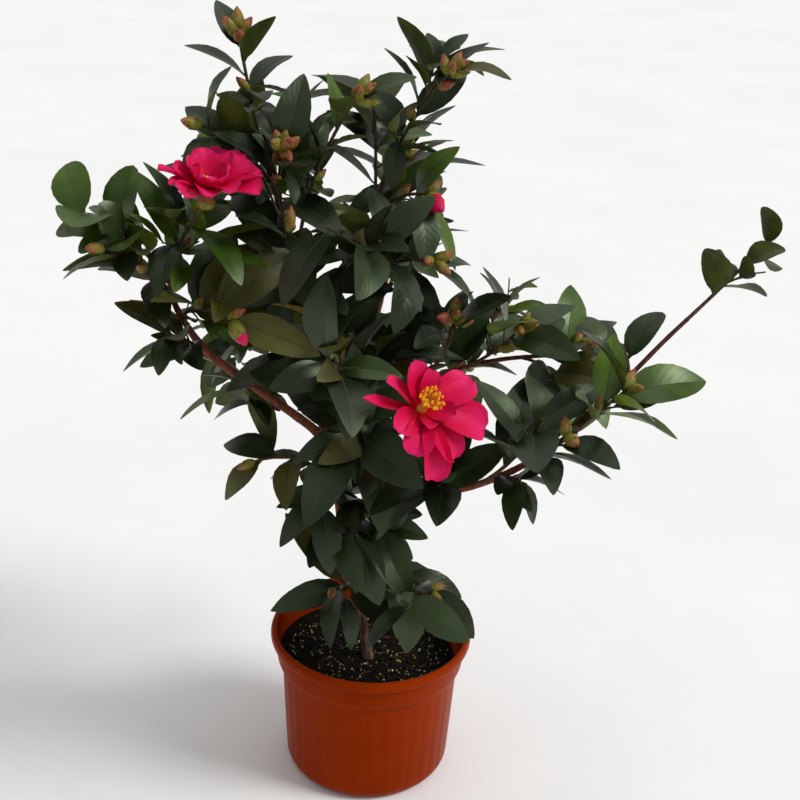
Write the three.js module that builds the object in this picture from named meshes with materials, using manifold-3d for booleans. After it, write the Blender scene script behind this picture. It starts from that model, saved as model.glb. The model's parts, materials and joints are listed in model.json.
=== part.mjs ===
// A camellia shrub in its nursery pot: pot, soil, leaning trunk, boughs, leafy sprays and two blooms.
// Millimetres, Z up, X to the right and Y away from the viewer, with the origin at the centre of
// the pot's flat underside.
import * as THREE from 'three';
import { mergeVertices } from 'three/addons/utils/BufferGeometryUtils.js';
import Module from 'manifold-3d';

const wasm = await Module();
wasm.setup();

const at = (x, y, z) => new THREE.Vector3(x, y, z);
const UP = at(0, 0, 1);
const DEGREE = Math.PI / 180;

// Clearances
const CLEAR = 0.3;
const SWELL = 0.34;
const SCRAP_TOLERANCE = 0.02;
const CORNER_GRID = 0.01;

// Pot: a plastic nursery pot with a rolled lip, a collar under it and a tapering body
const RIM_RADIUS = 75;
const POT_HEIGHT = 115;
const LIP_DEPTH = 8.5;
const NECK_RADIUS = 71.6;
const COLLAR_BOTTOM = 90.3;
const COLLAR_RADIUS = 69.8;
const SHOULDER_RADIUS = 66.4;
const STEP_HEIGHT = 89.9;
const FOOT_RADIUS = 62.2;
const FOOT_ROUND = 12;
const FLOOR_RADIUS = 52;
const WALL = 1.8;
const FLOOR = 2.6;
const POT_SIDES = 30;

// Soil: fills the pot to well under its rim
const SOIL_TOP = 87;
const SOIL_DEPTH = 84;

// Wood
const TRUNK_BURIED = 7.2;
const ROOT_FLARE = 0.7;
const FLARE_HEIGHT = 9;
const LIMB_SIDES = 6;
const LIMB_STEPS = 6;
const TRUNK_STEPS = 14;
const TWIG_SIDES = 3;
const STEM_STEPS = 4;
const TWIG_STEPS = 2;
const STEM_RADIUS = 1.3;
const STEM_TIP_RADIUS = 0.95;
const TWIG_SHARE = 0.8;

// Leaves: 12 faces each, with a raised middle and a tip that curls down
const LEAF_THICKNESS = 1.3;
const LEAF_ARCH = 0.1;
const LEAF_ROOT_SINK = 0.45;
const LEAF_ROOT_TOP = 0.3;
const LEAF_ROOT_BOTTOM = 0.5;
const LEAF_MIDDLE = 0.5;
const LEAF_OUTLINE = { low: 0.32, lowWidth: 0.92, high: 0.68, highWidth: 0.8 };
const LEAF_TRIES = [0, 26, -26, 52, -52];
const CROSSING_SHARE = 0.02;

// How leaves, side twigs and buds stand along a stem. Angles are in degrees, lengths in shares of the
// stem or of the leaf, and a range is what a drawn fraction from -0.5 to 0.5 is multiplied by
const GOLDEN_TURN = 137.5;
const TURN_FROM = at(0.3, -0.7, -0.65).normalize();
const LEAF_RULE = {
  from: 0.22,
  span: 0.77,
  lag: 0.6,
  turnRange: 50,
  open: 74,
  closing: 30,
  openRange: 46,
  liftRange: 0.5,
  rollRange: 60,
  faceAlong: 0.5,
  faceUp: 0.8,
  size: [0.8, 0.4],
  halfWidth: [0.185, 0.06],
  curl: [0.08, 0.2],
};
const TWIG_RULE = {
  from: 0.3,
  span: 0.5,
  turn: 90,
  turnStep: 180,
  turnRange: 60,
  open: [40, 16],
  lift: 0.25,
  reach: [0.5, 0.2],
};
const BUD_RULE = {
  turn: 40,
  singleLean: 12,
  lean: [16, 52],
  back: 7,
  size: [0.82, 0.32],
  sideFrom: 0.5,
  sideStep: 0.32,
  sideLean: 34,
  sideSize: [0.78, 0.2],
};

// Buds
const BUD_LENGTH = 15;
const BUD_RADIUS = 3.8;
const BUD_SIDES = 5;
const BUD_WAIST = 0.45;
const BUD_SINK = 1.2;
const SOLID_BUDS = 3;

// Blooms: two whorls of petals round a head of stamens
const BLOOM_SIDES = 7;
const STALK_RADIUS = 1.5;
const STALK_SIDES = 5;
const PETAL_ROOT_OUT = 3.2;
const PETAL_ROOT_UP = 1.5;
const PETAL_RANGE = 16;
const PETAL_SIZE = [0.9, 0.2];
const PETAL_HALF_WIDTH = 0.36;
const PETAL_CURL = 0.14;
const CALYX_PROFILE = [[0, -7], [4.2, -5], [6, 0], [4.4, 3.5], [0, 4]];
const STAMEN_PROFILE = [[0, 1], [3.4, 2], [6, 12], [4.6, 13.4], [0, 12]];
const PETAL_OUTLINE = { low: 0.36, lowWidth: 0.72, high: 0.82, highWidth: 1 };
const WHORLS = [
  { petals: 6, turn: 10, open: 78, share: 1 },
  { petals: 5, turn: 40, open: 54, share: 0.86 },
];

// Boughs: each one tapers along a cubic curve from its foot through two bends to its tip
const LIMBS = [
  { name: 'trunk', radii: [3.5, 3.9],
    curve: [at(-0.8, 0, 80.3), at(-4.5, 0, 128.5), at(-31.2, 0, 196.6), at(-28, 0, 268)] },
  { name: 'left_bough', radii: [3.4, 2.6],
    curve: [at(-30, -1, 258), at(-46, -4, 288), at(-96, -12, 312), at(-122, -20, 345)] },
  { name: 'left_bough_end', radii: [2.5, 1.7],
    curve: [at(-122, -20, 345), at(-130, -22, 359), at(-139, -24, 372), at(-139, -26, 390)] },
  { name: 'rising_bough', radii: [2.9, 1.3],
    curve: [at(-28, 1, 260), at(-38, 6, 320), at(-58, 8, 385), at(-82, 2, 474)] },
  { name: 'middle_bough', radii: [2.6, 1.3],
    curve: [at(-27, 2, 260), at(-22, 16, 320), at(-14, 28, 380), at(-4, 30, 449)] },
  { name: 'right_upper_bough', radii: [2.5, 1.3],
    curve: [at(-26, 1, 252), at(-6, 4, 298), at(38, 12, 330), at(121, 30, 328)] },
  { name: 'right_lower_bough', radii: [2.9, 1.9],
    curve: [at(-23, -1, 215), at(12, -30, 244), at(72, -62, 252), at(127, -75, 320)] },
  { name: 'long_shoot', radii: [1.8, 1.3],
    curve: [at(127, -75, 320), at(142, -77, 338), at(168, -68, 370), at(192, -60, 393)] },
  { name: 'front_bough', radii: [2.3, 1.3],
    curve: [at(-27, -2, 250), at(-24, -36, 285), at(-10, -66, 300), at(14, -92, 332)] },
  { name: 'back_bough', radii: [2.5, 1.3],
    curve: [at(-26, 2, 248), at(-22, 42, 290), at(-2, 72, 330), at(4, 92, 392)] },
  { name: 'back_left_bough', radii: [2.4, 1.3],
    curve: [at(-27, 1, 240), at(-48, 34, 284), at(-74, 58, 322), at(-92, 72, 384)] },
  { name: 'back_right_bough', radii: [2.4, 1.3],
    curve: [at(-24, 1, 228), at(8, 34, 262), at(48, 60, 286), at(82, 82, 334)] },
];

// Blooms: each one ends its own stalk, which starts where the stem or bough named here ends
const BLOOMS = [
  { name: 'left_bloom', on: 'left_bloom_spray', heart: at(-109, -58, 462),
    facing: at(0.15, -0.35, 0.92), petalLength: 33, seed: 5 },
  { name: 'right_bloom', on: 'front_bough', heart: at(27, -112, 346),
    facing: at(0.2, -0.72, 0.66), petalLength: 38, seed: 9 },
];

// Sprays: each one is a stem from its bough to its tip, with side twigs, leaves and buds that its
// seed deals out
const ROUND_BREADTH = 1.55;
const PLAIN_SPRAY = { twigs: 0, twigLeaves: 0, buds: 0, sideBuds: 0, breadth: 1 };
const SPRAYS = [
  { name: 'top_left_spray', on: 'rising_bough', along: 1, tip: at(-97, 0, 548), seed: 905,
    leaves: 7, leafLength: 46, buds: 6, sideBuds: 2 },
  { name: 'left_tuft', on: 'rising_bough', along: 0.9, tip: at(-117, -22, 492), seed: 518,
    leaves: 6, leafLength: 41, buds: 1 },
  { name: 'bud_tuft', on: 'rising_bough', along: 0.8, tip: at(-65, -36, 485), seed: 1811,
    leaves: 6, leafLength: 52, buds: 7, sideBuds: 2 },
  { name: 'mid_top_spray', on: 'rising_bough', along: 0.66, tip: at(-20, -5, 513), seed: 2401,
    leaves: 9, leafLength: 38, twigs: 1, twigLeaves: 4, buds: 4, sideBuds: 1 },
  { name: 'centre_left_spray', on: 'rising_bough', along: 0.5, tip: at(-61, -42, 435), seed: 38,
    leaves: 6, leafLength: 56, twigs: 1, twigLeaves: 3, buds: 2 },
  { name: 'top_right_spray', on: 'middle_bough', along: 1, tip: at(38, 10, 528), seed: 2329,
    leaves: 9, leafLength: 43, twigs: 1, twigLeaves: 3, buds: 5, sideBuds: 2 },
  { name: 'upright_spray', on: 'middle_bough', along: 0.8, tip: at(-13, 48, 500), seed: 116,
    leaves: 7, leafLength: 54, twigs: 1, twigLeaves: 3 },
  { name: 'red_bud_spray', on: 'middle_bough', along: 0.88, tip: at(26, 2, 448), seed: 1860,
    leaves: 6, leafLength: 53, buds: 2, sideBuds: 1 },
  { name: 'mid_right_spray', on: 'middle_bough', along: 0.62, tip: at(33, -15, 408), seed: 246,
    leaves: 7, leafLength: 52, buds: 3 },
  { name: 'centre_up_spray', on: 'middle_bough', along: 0.5, tip: at(-3, -46, 430), seed: 874,
    leaves: 8, leafLength: 55, twigs: 1, twigLeaves: 3 },
  { name: 'left_bloom_spray', on: 'left_bough_end', along: 1, tip: at(-121, -44, 436), seed: 423,
    leaves: 8, leafLength: 57, sideBuds: 1 },
  { name: 'far_left_spray', on: 'left_bough_end', along: 0.94, tip: at(-190, -50, 441), seed: 31,
    leaves: 7, leafLength: 43, breadth: ROUND_BREADTH },
  { name: 'left_mid_spray', on: 'left_bough_end', along: 0.72, tip: at(-173, -62, 421), seed: 962,
    leaves: 8, leafLength: 46, buds: 1, sideBuds: 1 },
  { name: 'left_low_spray', on: 'left_bough', along: 0.92, tip: at(-138, -48, 362), seed: 6402,
    leaves: 7, leafLength: 40 },
  { name: 'olive_spray', on: 'left_bough_end', along: 0.4, tip: at(-94, -64, 379), seed: 2409,
    leaves: 9, leafLength: 56, buds: 2, sideBuds: 1 },
  { name: 'dark_left_spray', on: 'left_bough', along: 0.62, tip: at(-90, 24, 288), seed: 582,
    leaves: 6, leafLength: 50 },
  { name: 'low_left_spray', on: 'trunk', along: 0.87, tip: at(-85, -16, 257), seed: 308,
    leaves: 5, leafLength: 48, buds: 1 },
  { name: 'under_left_spray', on: 'trunk', along: 0.75, tip: at(-37, -46, 242), seed: 1119,
    leaves: 7, leafLength: 46 },
  { name: 'under_mid_spray', on: 'trunk', along: 0.68, tip: at(7, -52, 226), seed: 1309,
    leaves: 8, leafLength: 54, twigs: 1, twigLeaves: 3 },
  { name: 'pot_left_spray', on: 'trunk', along: 0.37, tip: at(-27, -36, 168), seed: 1260,
    leaves: 6, leafLength: 56, buds: 1 },
  { name: 'pot_right_spray', on: 'trunk', along: 0.45, tip: at(43, -46, 176), seed: 4050,
    leaves: 7, leafLength: 52, buds: 2 },
  { name: 'bud_row_left', on: 'right_upper_bough', along: 0.5, tip: at(47, -22, 373), seed: 939,
    leaves: 6, leafLength: 52, buds: 4 },
  { name: 'bud_row_right', on: 'right_upper_bough', along: 0.72, tip: at(94, 0, 360), seed: 560,
    leaves: 7, leafLength: 52, buds: 4, sideBuds: 1 },
  { name: 'right_tip_spray', on: 'right_upper_bough', along: 1, tip: at(138, 27, 339), seed: 2470,
    leaves: 7, leafLength: 53, buds: 2 },
  { name: 'round_leaf_spray', on: 'right_upper_bough', along: 0.9, tip: at(122, -6, 323), seed: 2373,
    leaves: 5, leafLength: 44, breadth: ROUND_BREADTH },
  { name: 'long_leaf_spray', on: 'right_lower_bough', along: 0.66, tip: at(102, -94, 335), seed: 344,
    leaves: 6, leafLength: 60 },
  { name: 'lower_tip_spray', on: 'right_lower_bough', along: 0.97, tip: at(154, -90, 356), seed: 364,
    leaves: 7, leafLength: 54, buds: 2, sideBuds: 1 },
  { name: 'shoot_foot_spray', on: 'long_shoot', along: 0.5, tip: at(152, -58, 373), seed: 1507,
    leaves: 4, leafLength: 36, breadth: ROUND_BREADTH },
  { name: 'shoot_tip_spray', on: 'long_shoot', along: 1, tip: at(241, -40, 440), seed: 1267,
    leaves: 6, leafLength: 30, breadth: ROUND_BREADTH },
  { name: 'hanging_right_spray', on: 'right_lower_bough', along: 0.86, tip: at(118, -104, 328), seed: 5878,
    leaves: 6, leafLength: 46, buds: 2 },
  { name: 'hanging_low_spray', on: 'right_lower_bough', along: 0.72, tip: at(94, -84, 285), seed: 2900,
    leaves: 5, leafLength: 36 },
  { name: 'front_low_spray', on: 'right_lower_bough', along: 0.4, tip: at(45, -92, 291), seed: 541,
    leaves: 7, leafLength: 56 },
  { name: 'front_left_spray', on: 'front_bough', along: 0.7, tip: at(-21, -96, 316), seed: 2072,
    leaves: 7, leafLength: 56 },
  { name: 'centre_front_spray', on: 'front_bough', along: 0.4, tip: at(-29, -68, 374), seed: 1095,
    leaves: 8, leafLength: 58, twigs: 1, twigLeaves: 3 },
  { name: 'heart_left_spray', on: 'rising_bough', along: 0.22, tip: at(-61, -26, 352), seed: 1889,
    leaves: 7, leafLength: 56 },
  { name: 'heart_right_spray', on: 'middle_bough', along: 0.25, tip: at(9, -30, 342), seed: 407,
    leaves: 7, leafLength: 56 },
  { name: 'back_top_spray', on: 'back_bough', along: 1, tip: at(9, 104, 452), seed: 1013,
    leaves: 8, leafLength: 53, twigs: 1, twigLeaves: 3, buds: 4, sideBuds: 1 },
  { name: 'back_mid_spray', on: 'back_bough', along: 0.62, tip: at(6, 136, 372), seed: 555,
    leaves: 7, leafLength: 53, twigs: 1, twigLeaves: 3, buds: 2 },
  { name: 'back_left_spray', on: 'back_left_bough', along: 1, tip: at(-122, 84, 435), seed: 2354,
    leaves: 8, leafLength: 56, twigs: 1, twigLeaves: 3, buds: 3, sideBuds: 1 },
  { name: 'back_left_low_spray', on: 'back_left_bough', along: 0.6, tip: at(-123, 112, 314), seed: 1229,
    leaves: 7, leafLength: 53, twigs: 1, twigLeaves: 3, buds: 1 },
  { name: 'back_right_spray', on: 'back_right_bough', along: 1, tip: at(91, 100, 336), seed: 2191,
    leaves: 8, leafLength: 42, twigs: 1, twigLeaves: 3, buds: 3, sideBuds: 1 },
  { name: 'back_right_low_spray', on: 'back_right_bough', along: 0.6, tip: at(66, 112, 283), seed: 186,
    leaves: 7, leafLength: 50, twigs: 1, twigLeaves: 3, buds: 1 },
].map((spray) => ({ ...PLAIN_SPRAY, ...spray }));

// A seeded run of fractions between 0 and 1, the same each time for the same seed
function drawsFrom(seed) {
  let state = seed;
  return () => {
    state = (state * 1664525 + 1013904223) % 4294967296;
    return state / 4294967296;
  };
}

// Two directions square to a stem: the first leans to the side that turns are counted from
function aroundOf(along) {
  const first = TURN_FROM.clone().addScaledVector(along, -TURN_FROM.dot(along)).normalize();
  return [first, along.clone().cross(first)];
}

function outwardAt(along, turn) {
  const [first, second] = aroundOf(along);
  const angle = turn * DEGREE;
  return first.multiplyScalar(Math.cos(angle)).addScaledVector(second, Math.sin(angle));
}

function tilted(along, outward, degrees) {
  const angle = degrees * DEGREE;
  return along.clone().multiplyScalar(Math.cos(angle)).addScaledVector(outward, Math.sin(angle));
}

// A stem leaves its bough half along the bough and half towards its own tip
function stemCurve(foot, lead, tip) {
  const reach = foot.distanceTo(tip);
  const toTip = tip.clone().sub(foot).normalize();
  const bend = foot.clone().addScaledVector(toTip.add(lead).normalize(), 0.5 * reach);
  return new THREE.QuadraticBezierCurve3(foot, bend, tip);
}

// The point at a share of a curve that is made of straight steps
function stepPoint(curve, share, steps) {
  const step = Math.min(Math.floor(share * steps), steps - 1);
  return curve.getPoint(step / steps).lerp(curve.getPoint((step + 1) / steps), share * steps - step);
}

// A size from a pair: its least value and the range that a drawn fraction adds to it
const sized = ([least, range], fraction) => least + range * fraction;

// Leaves stand by turns round a stem, wide open at its foot and closing towards its tip
function leavesOn(curve, steps, count, kind, turn, draw) {
  const rule = LEAF_RULE;
  const range = (width) => (draw() - 0.5) * width;
  const leaves = [];
  for (let index = 0; index < count; index += 1) {
    const share = rule.from + rule.span * ((index + rule.lag) / count);
    const along = curve.getTangent(share);
    const outward = outwardAt(along, turn + index * GOLDEN_TURN + range(rule.turnRange));
    const direction = tilted(along, outward, rule.open - rule.closing * share + range(rule.openRange));
    direction.z += range(rule.liftRange);
    direction.normalize();
    const face = along.clone().multiplyScalar(rule.faceAlong).addScaledVector(UP, rule.faceUp);
    face.addScaledVector(direction, -face.dot(direction)).normalize();
    face.applyAxisAngle(direction, range(rule.rollRange) * DEGREE);
    const length = kind.leafLength * sized(rule.size, draw());
    leaves.push({
      foot: stepPoint(curve, share, steps),
      along,
      direction,
      face,
      length,
      halfWidth: kind.breadth * length * sized(rule.halfWidth, draw()),
      curl: length * sized(rule.curl, draw()),
    });
  }
  return leaves;
}

// Buds crowd at a stem's tip, and single ones stand along it
function budsOn(curve, tipBuds, sideBuds, draw) {
  const rule = BUD_RULE;
  const buds = [];
  const tipWay = curve.getTangent(1);
  for (let index = 0; index < tipBuds; index += 1) {
    const outward = outwardAt(tipWay, index * GOLDEN_TURN + rule.turn * draw());
    const lean = tipBuds === 1 ? rule.singleLean : sized(rule.lean, (index + 0.5) / tipBuds);
    const foot = curve.getPoint(1).addScaledVector(tipWay, -rule.back * (index / tipBuds));
    buds.push({ foot, direction: tilted(tipWay, outward, lean), size: sized(rule.size, draw()) });
  }
  for (let index = 0; index < sideBuds; index += 1) {
    const share = rule.sideFrom + rule.sideStep * index;
    const along = curve.getTangent(share);
    const direction = tilted(along, outwardAt(along, 360 * draw()), rule.sideLean);
    buds.push({ foot: stepPoint(curve, share, STEM_STEPS), direction, size: sized(rule.sideSize, draw()) });
  }
  return buds;
}

// The side twigs of a stem branch from it by turns and rise a little
function twigsOn(stem, count, turn, draw) {
  const rule = TWIG_RULE;
  const twigs = [];
  for (let index = 0; index < count; index += 1) {
    const share = rule.from + rule.span * ((index + draw()) / count);
    const along = stem.getTangent(share);
    const swing = turn + rule.turn + rule.turnStep * index + (draw() - 0.5) * rule.turnRange;
    const direction = tilted(along, outwardAt(along, swing), sized(rule.open, draw()));
    direction.z += rule.lift;
    direction.normalize();
    const foot = stepPoint(stem, share, STEM_STEPS);
    const tip = foot.clone().addScaledVector(direction, stem.getLength() * sized(rule.reach, draw()));
    twigs.push(stemCurve(foot, along, tip));
  }
  return twigs;
}

// One spray: its stem, the side twigs that branch from it, and what they carry
function growSpray(spray, limbCurve) {
  const draw = drawsFrom(spray.seed);
  const stem = stemCurve(limbCurve.getPoint(spray.along), limbCurve.getTangent(spray.along), spray.tip);
  const turn = 360 * draw();
  const twigs = twigsOn(stem, spray.twigs, turn, draw);
  const leaves = leavesOn(stem, STEM_STEPS, spray.leaves, spray, turn, draw);
  for (const twig of twigs) {
    leaves.push(...leavesOn(twig, TWIG_STEPS, spray.twigLeaves, spray, 360 * draw(), draw));
  }
  const buds = budsOn(stem, spray.buds, spray.sideBuds, draw);
  return { stem, twigs, leaves, buds };
}

// A closed geometry as a solid, with its shared corners merged and its flat faces dropped
function solidOf(geometry) {
  geometry.deleteAttribute('normal');
  geometry.deleteAttribute('uv');
  const merged = mergeVertices(geometry, 0.2 * CORNER_GRID);
  const corners = merged.index.array;
  const kept = [];
  for (let face = 0; face < corners.length; face += 3) {
    const [a, b, c] = [corners[face], corners[face + 1], corners[face + 2]];
    if (a !== b && b !== c && c !== a) kept.push(a, b, c);
  }
  const vertProperties = merged.attributes.position.array;
  return new wasm.Manifold(new wasm.Mesh({ numProp: 3, vertProperties, triVerts: Uint32Array.from(kept) }));
}

function geometryOf(solid) {
  const { vertProperties, triVerts } = solid.getMesh();
  const corners = vertProperties.map((value) => Math.round(value / CORNER_GRID) * CORNER_GRID);
  const geometry = new THREE.BufferGeometry();
  geometry.setAttribute('position', new THREE.BufferAttribute(corners, 3));
  return geometry.setIndex(new THREE.BufferAttribute(triVerts, 1));
}

// The largest piece of a solid: loose scraps go, and so do sealed hollows, which fills them
function wholePiece(solid) {
  const pieces = solidOf(geometryOf(solid.simplify(SCRAP_TOLERANCE))).decompose();
  return pieces.reduce((best, piece) => (piece.volume() > best.volume() ? piece : best));
}

// True where each edge of the merged faces is shared by just two of them
function isSound(solid) {
  const geometry = mergeVertices(geometryOf(solid), 0.2 * CORNER_GRID);
  const corners = geometry.index.array;
  const uses = new Map();
  for (let face = 0; face < corners.length; face += 3) {
    for (const [from, to] of [[0, 1], [1, 2], [2, 0]]) {
      const ends = [corners[face + from], corners[face + to]].sort((a, b) => a - b).join();
      uses.set(ends, (uses.get(ends) || 0) + 1);
    }
  }
  return [...uses.values()].every((count) => count === 2);
}

// A solid with one more fused on, or nothing where that doesn't take or leaves a faulty edge
function fusedWith(whole, other) {
  const next = wholePiece(whole.add(other));
  const takes = next.volume() > whole.volume() + 0.5 * other.volume();
  return takes && isSound(next) ? next : null;
}

// A rod of changing radius along a curve: a cylinder whose rings are carried onto the curve
function rodGeometry(curve, radiusAt, sides, steps) {
  const rod = new THREE.CylinderGeometry(1, 1, 1, sides, steps);
  const frames = curve.computeFrenetFrames(steps);
  const corners = rod.attributes.position;
  for (let index = 0; index < corners.count; index += 1) {
    const share = corners.getY(index) + 0.5;
    const ring = Math.round(share * steps);
    const radius = radiusAt(share);
    const corner = curve.getPoint(share)
      .addScaledVector(frames.binormals[ring], radius * corners.getX(index))
      .addScaledVector(frames.normals[ring], radius * corners.getZ(index));
    corners.setXYZ(index, corner.x, corner.y, corner.z);
  }
  return rod;
}

const tapered = (foot, tip) => (share) => foot + (tip - foot) * share;

// A blade of 12 faces: a root edge inside the twig, two pairs of side corners, a tip, and a middle that
// rises with the curl, so that the top stays over the underside
function bladeGeometry(blade, outline) {
  const across = blade.direction.clone().cross(blade.face);
  const cornerAt = (share, side, lift) => blade.foot.clone()
    .addScaledVector(blade.direction, share * blade.length)
    .addScaledVector(across, side * blade.halfWidth)
    .addScaledVector(blade.face, lift - blade.curl * share * share);
  const corners = [
    cornerAt(-LEAF_ROOT_SINK / blade.length, 0, LEAF_ROOT_TOP),
    cornerAt(outline.low, -outline.lowWidth, 0),
    cornerAt(outline.low, outline.lowWidth, 0),
    cornerAt(outline.high, -outline.highWidth, 0),
    cornerAt(outline.high, outline.highWidth, 0),
    cornerAt(1, 0, 0),
    cornerAt(LEAF_MIDDLE, 0, LEAF_THICKNESS + LEAF_ARCH * blade.curl),
    cornerAt(-LEAF_ROOT_SINK / blade.length, 0, -LEAF_ROOT_BOTTOM),
  ];
  const geometry = new THREE.BufferGeometry().setFromPoints(corners);
  geometry.setIndex([
    0, 2, 6, 2, 4, 6, 4, 5, 6, 5, 3, 6, 3, 1, 6, 1, 0, 6,
    7, 1, 2, 1, 3, 4, 1, 4, 2, 3, 5, 4,
    0, 7, 2, 7, 0, 1,
  ]);
  return geometry;
}

// A body of revolution about a direction, from pairs of radius and height
function turnedGeometry(profile, sides, foot, direction) {
  const points = profile.map(([radius, height]) => new THREE.Vector2(radius, height));
  const geometry = new THREE.LatheGeometry(points, sides);
  geometry.applyQuaternion(new THREE.Quaternion().setFromUnitVectors(at(0, 1, 0), direction));
  return geometry.translate(foot.x, foot.y, foot.z);
}

function budGeometry(bud) {
  const length = BUD_LENGTH * bud.size;
  const radius = BUD_RADIUS * bud.size;
  const profile = [[0, -BUD_SINK], [radius, BUD_WAIST * length], [0, length]];
  return turnedGeometry(profile, BUD_SIDES, bud.foot, bud.direction);
}

// Placed solids, each with the box that it fills
const placed = [];
const meet = (a, b) => a.min.every((low, axis) => (
  low - CLEAR <= b.max[axis] && a.max[axis] + CLEAR >= b.min[axis]
));

function place(name, solid) {
  placed.push({ name, solid, box: solid.boundingBox() });
}

function isClear(solid, ownName) {
  const box = solid.boundingBox();
  return placed.every((other) => other.name === ownName || !meet(box, other.box)
    || solid.minGap(other.solid, 2 * CLEAR) >= CLEAR);
}

function crosses(solid, others) {
  const box = solid.boundingBox();
  const limit = CROSSING_SHARE * solid.volume();
  return others.some((other) => meet(box, other.boundingBox()) && solid.intersect(other).volume() > limit);
}

const meshes = new THREE.Group();
function addMesh(name, solid, material) {
  const geometry = geometryOf(solid);
  geometry.computeVertexNormals();
  const mesh = new THREE.Mesh(geometry, material);
  mesh.name = name;
  meshes.add(mesh);
}

// Materials
const finish = (color, roughness) => new THREE.MeshStandardMaterial({ color, roughness });
const POT_PLASTIC = finish('#a8431a', 0.45);
const SOIL_MIX = finish('#1d1712', 0.95);
const BARK = finish('#5a3a2c', 0.85);
const LEAF = finish('#26402a', 0.4);
const PETAL = finish('#d81a5c', 0.55);

// Pot: one turned wall, its outside from the underside to the lip and its inside back down
function potProfile() {
  const outside = [[0, 0]];
  for (let step = 0; step <= 4; step += 1) {
    const angle = (step / 4) * 90 * DEGREE;
    outside.push([
      FLOOR_RADIUS + (FOOT_RADIUS - FLOOR_RADIUS) * Math.sin(angle),
      FOOT_ROUND * (1 - Math.cos(angle)),
    ]);
  }
  outside.push(
    [SHOULDER_RADIUS, COLLAR_BOTTOM - 0.8],
    [COLLAR_RADIUS, COLLAR_BOTTOM],
    [NECK_RADIUS, POT_HEIGHT - LIP_DEPTH],
    [RIM_RADIUS, POT_HEIGHT - 0.75 * LIP_DEPTH],
    [RIM_RADIUS, POT_HEIGHT - 0.25 * LIP_DEPTH],
    [RIM_RADIUS - 1.4, POT_HEIGHT],
  );
  const inside = [
    [RIM_RADIUS - 3.6, POT_HEIGHT],
    [RIM_RADIUS - 4.6, POT_HEIGHT - 0.2 * LIP_DEPTH],
    [NECK_RADIUS - WALL, POT_HEIGHT - LIP_DEPTH],
    [COLLAR_RADIUS - WALL, COLLAR_BOTTOM + 1.6],
    [SHOULDER_RADIUS - WALL, STEP_HEIGHT],
    [FOOT_RADIUS - WALL, FOOT_ROUND],
    [FLOOR_RADIUS - WALL, FLOOR],
    [0, FLOOR],
  ];
  return [...outside, ...inside];
}

// Soil: fills the pot from its floor, a clearance away from the wall all round
function soilProfile() {
  const wallAt = (height) => FOOT_RADIUS - WALL
    + (SHOULDER_RADIUS - FOOT_RADIUS) * ((height - FOOT_ROUND) / (STEP_HEIGHT - FOOT_ROUND));
  return [
    [0, FLOOR + CLEAR],
    [FLOOR_RADIUS - WALL - 2 * CLEAR, FLOOR + CLEAR],
    [wallAt(FOOT_ROUND) - 2 * CLEAR, FOOT_ROUND],
    [wallAt(SOIL_TOP) - 2 * CLEAR, SOIL_TOP],
    [0, SOIL_TOP],
  ];
}

// Trunk and boughs, each one cut clear of the limbs that it springs from
const limbCurves = new Map(LIMBS.map((limb) => [limb.name, new THREE.CubicBezierCurve3(...limb.curve)]));

function limbSolid(limb, extra) {
  const curve = limbCurves.get(limb.name);
  const taper = tapered(limb.radii[0] + extra, limb.radii[1] + extra);
  if (limb.name !== 'trunk') return solidOf(rodGeometry(curve, taper, LIMB_SIDES, LIMB_STEPS));
  const above = (share) => Math.max(share * curve.getLength() - TRUNK_BURIED, 0);
  const flared = (share) => taper(share) + ROOT_FLARE * Math.exp(-above(share) / FLARE_HEIGHT);
  return solidOf(rodGeometry(curve, flared, LIMB_SIDES, TRUNK_STEPS));
}

// A limb with its clearance: what a stem is cut back by where it springs from that limb
function swollenLimb(limb) {
  const curve = limbCurves.get(limb.name);
  const radius = limb.radii[1] + SWELL;
  const profile = [[0, -1], [radius, -1], [radius, SWELL], [0, SWELL]];
  const cap = turnedGeometry(profile, LIMB_SIDES, curve.getPoint(1), curve.getTangent(1));
  return limbSolid(limb, SWELL).add(solidOf(cap));
}

const swollen = new Map(LIMBS.map((limb) => [limb.name, swollenLimb(limb)]));

function cutClear(solid, names) {
  return wholePiece(names.reduce((left, name) => left.subtract(swollen.get(name)), solid));
}

function buildLimbs() {
  const built = [];
  for (const limb of LIMBS) {
    let solid = cutClear(limbSolid(limb, 0), built);
    if (limb.name === 'trunk') solid = wholePiece(solid.subtract(belowGround()));
    built.push(limb.name);
    place(limb.name, solid);
    addMesh(limb.name, solid, BARK);
  }
}

// Everything under the soil's surface, which takes the trunk off flat there
function belowGround() {
  const block = new THREE.BoxGeometry(2 * SOIL_DEPTH, 2 * SOIL_DEPTH, SOIL_DEPTH);
  return solidOf(block.translate(0, 0, SOIL_TOP + CLEAR - SOIL_DEPTH / 2));
}

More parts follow.
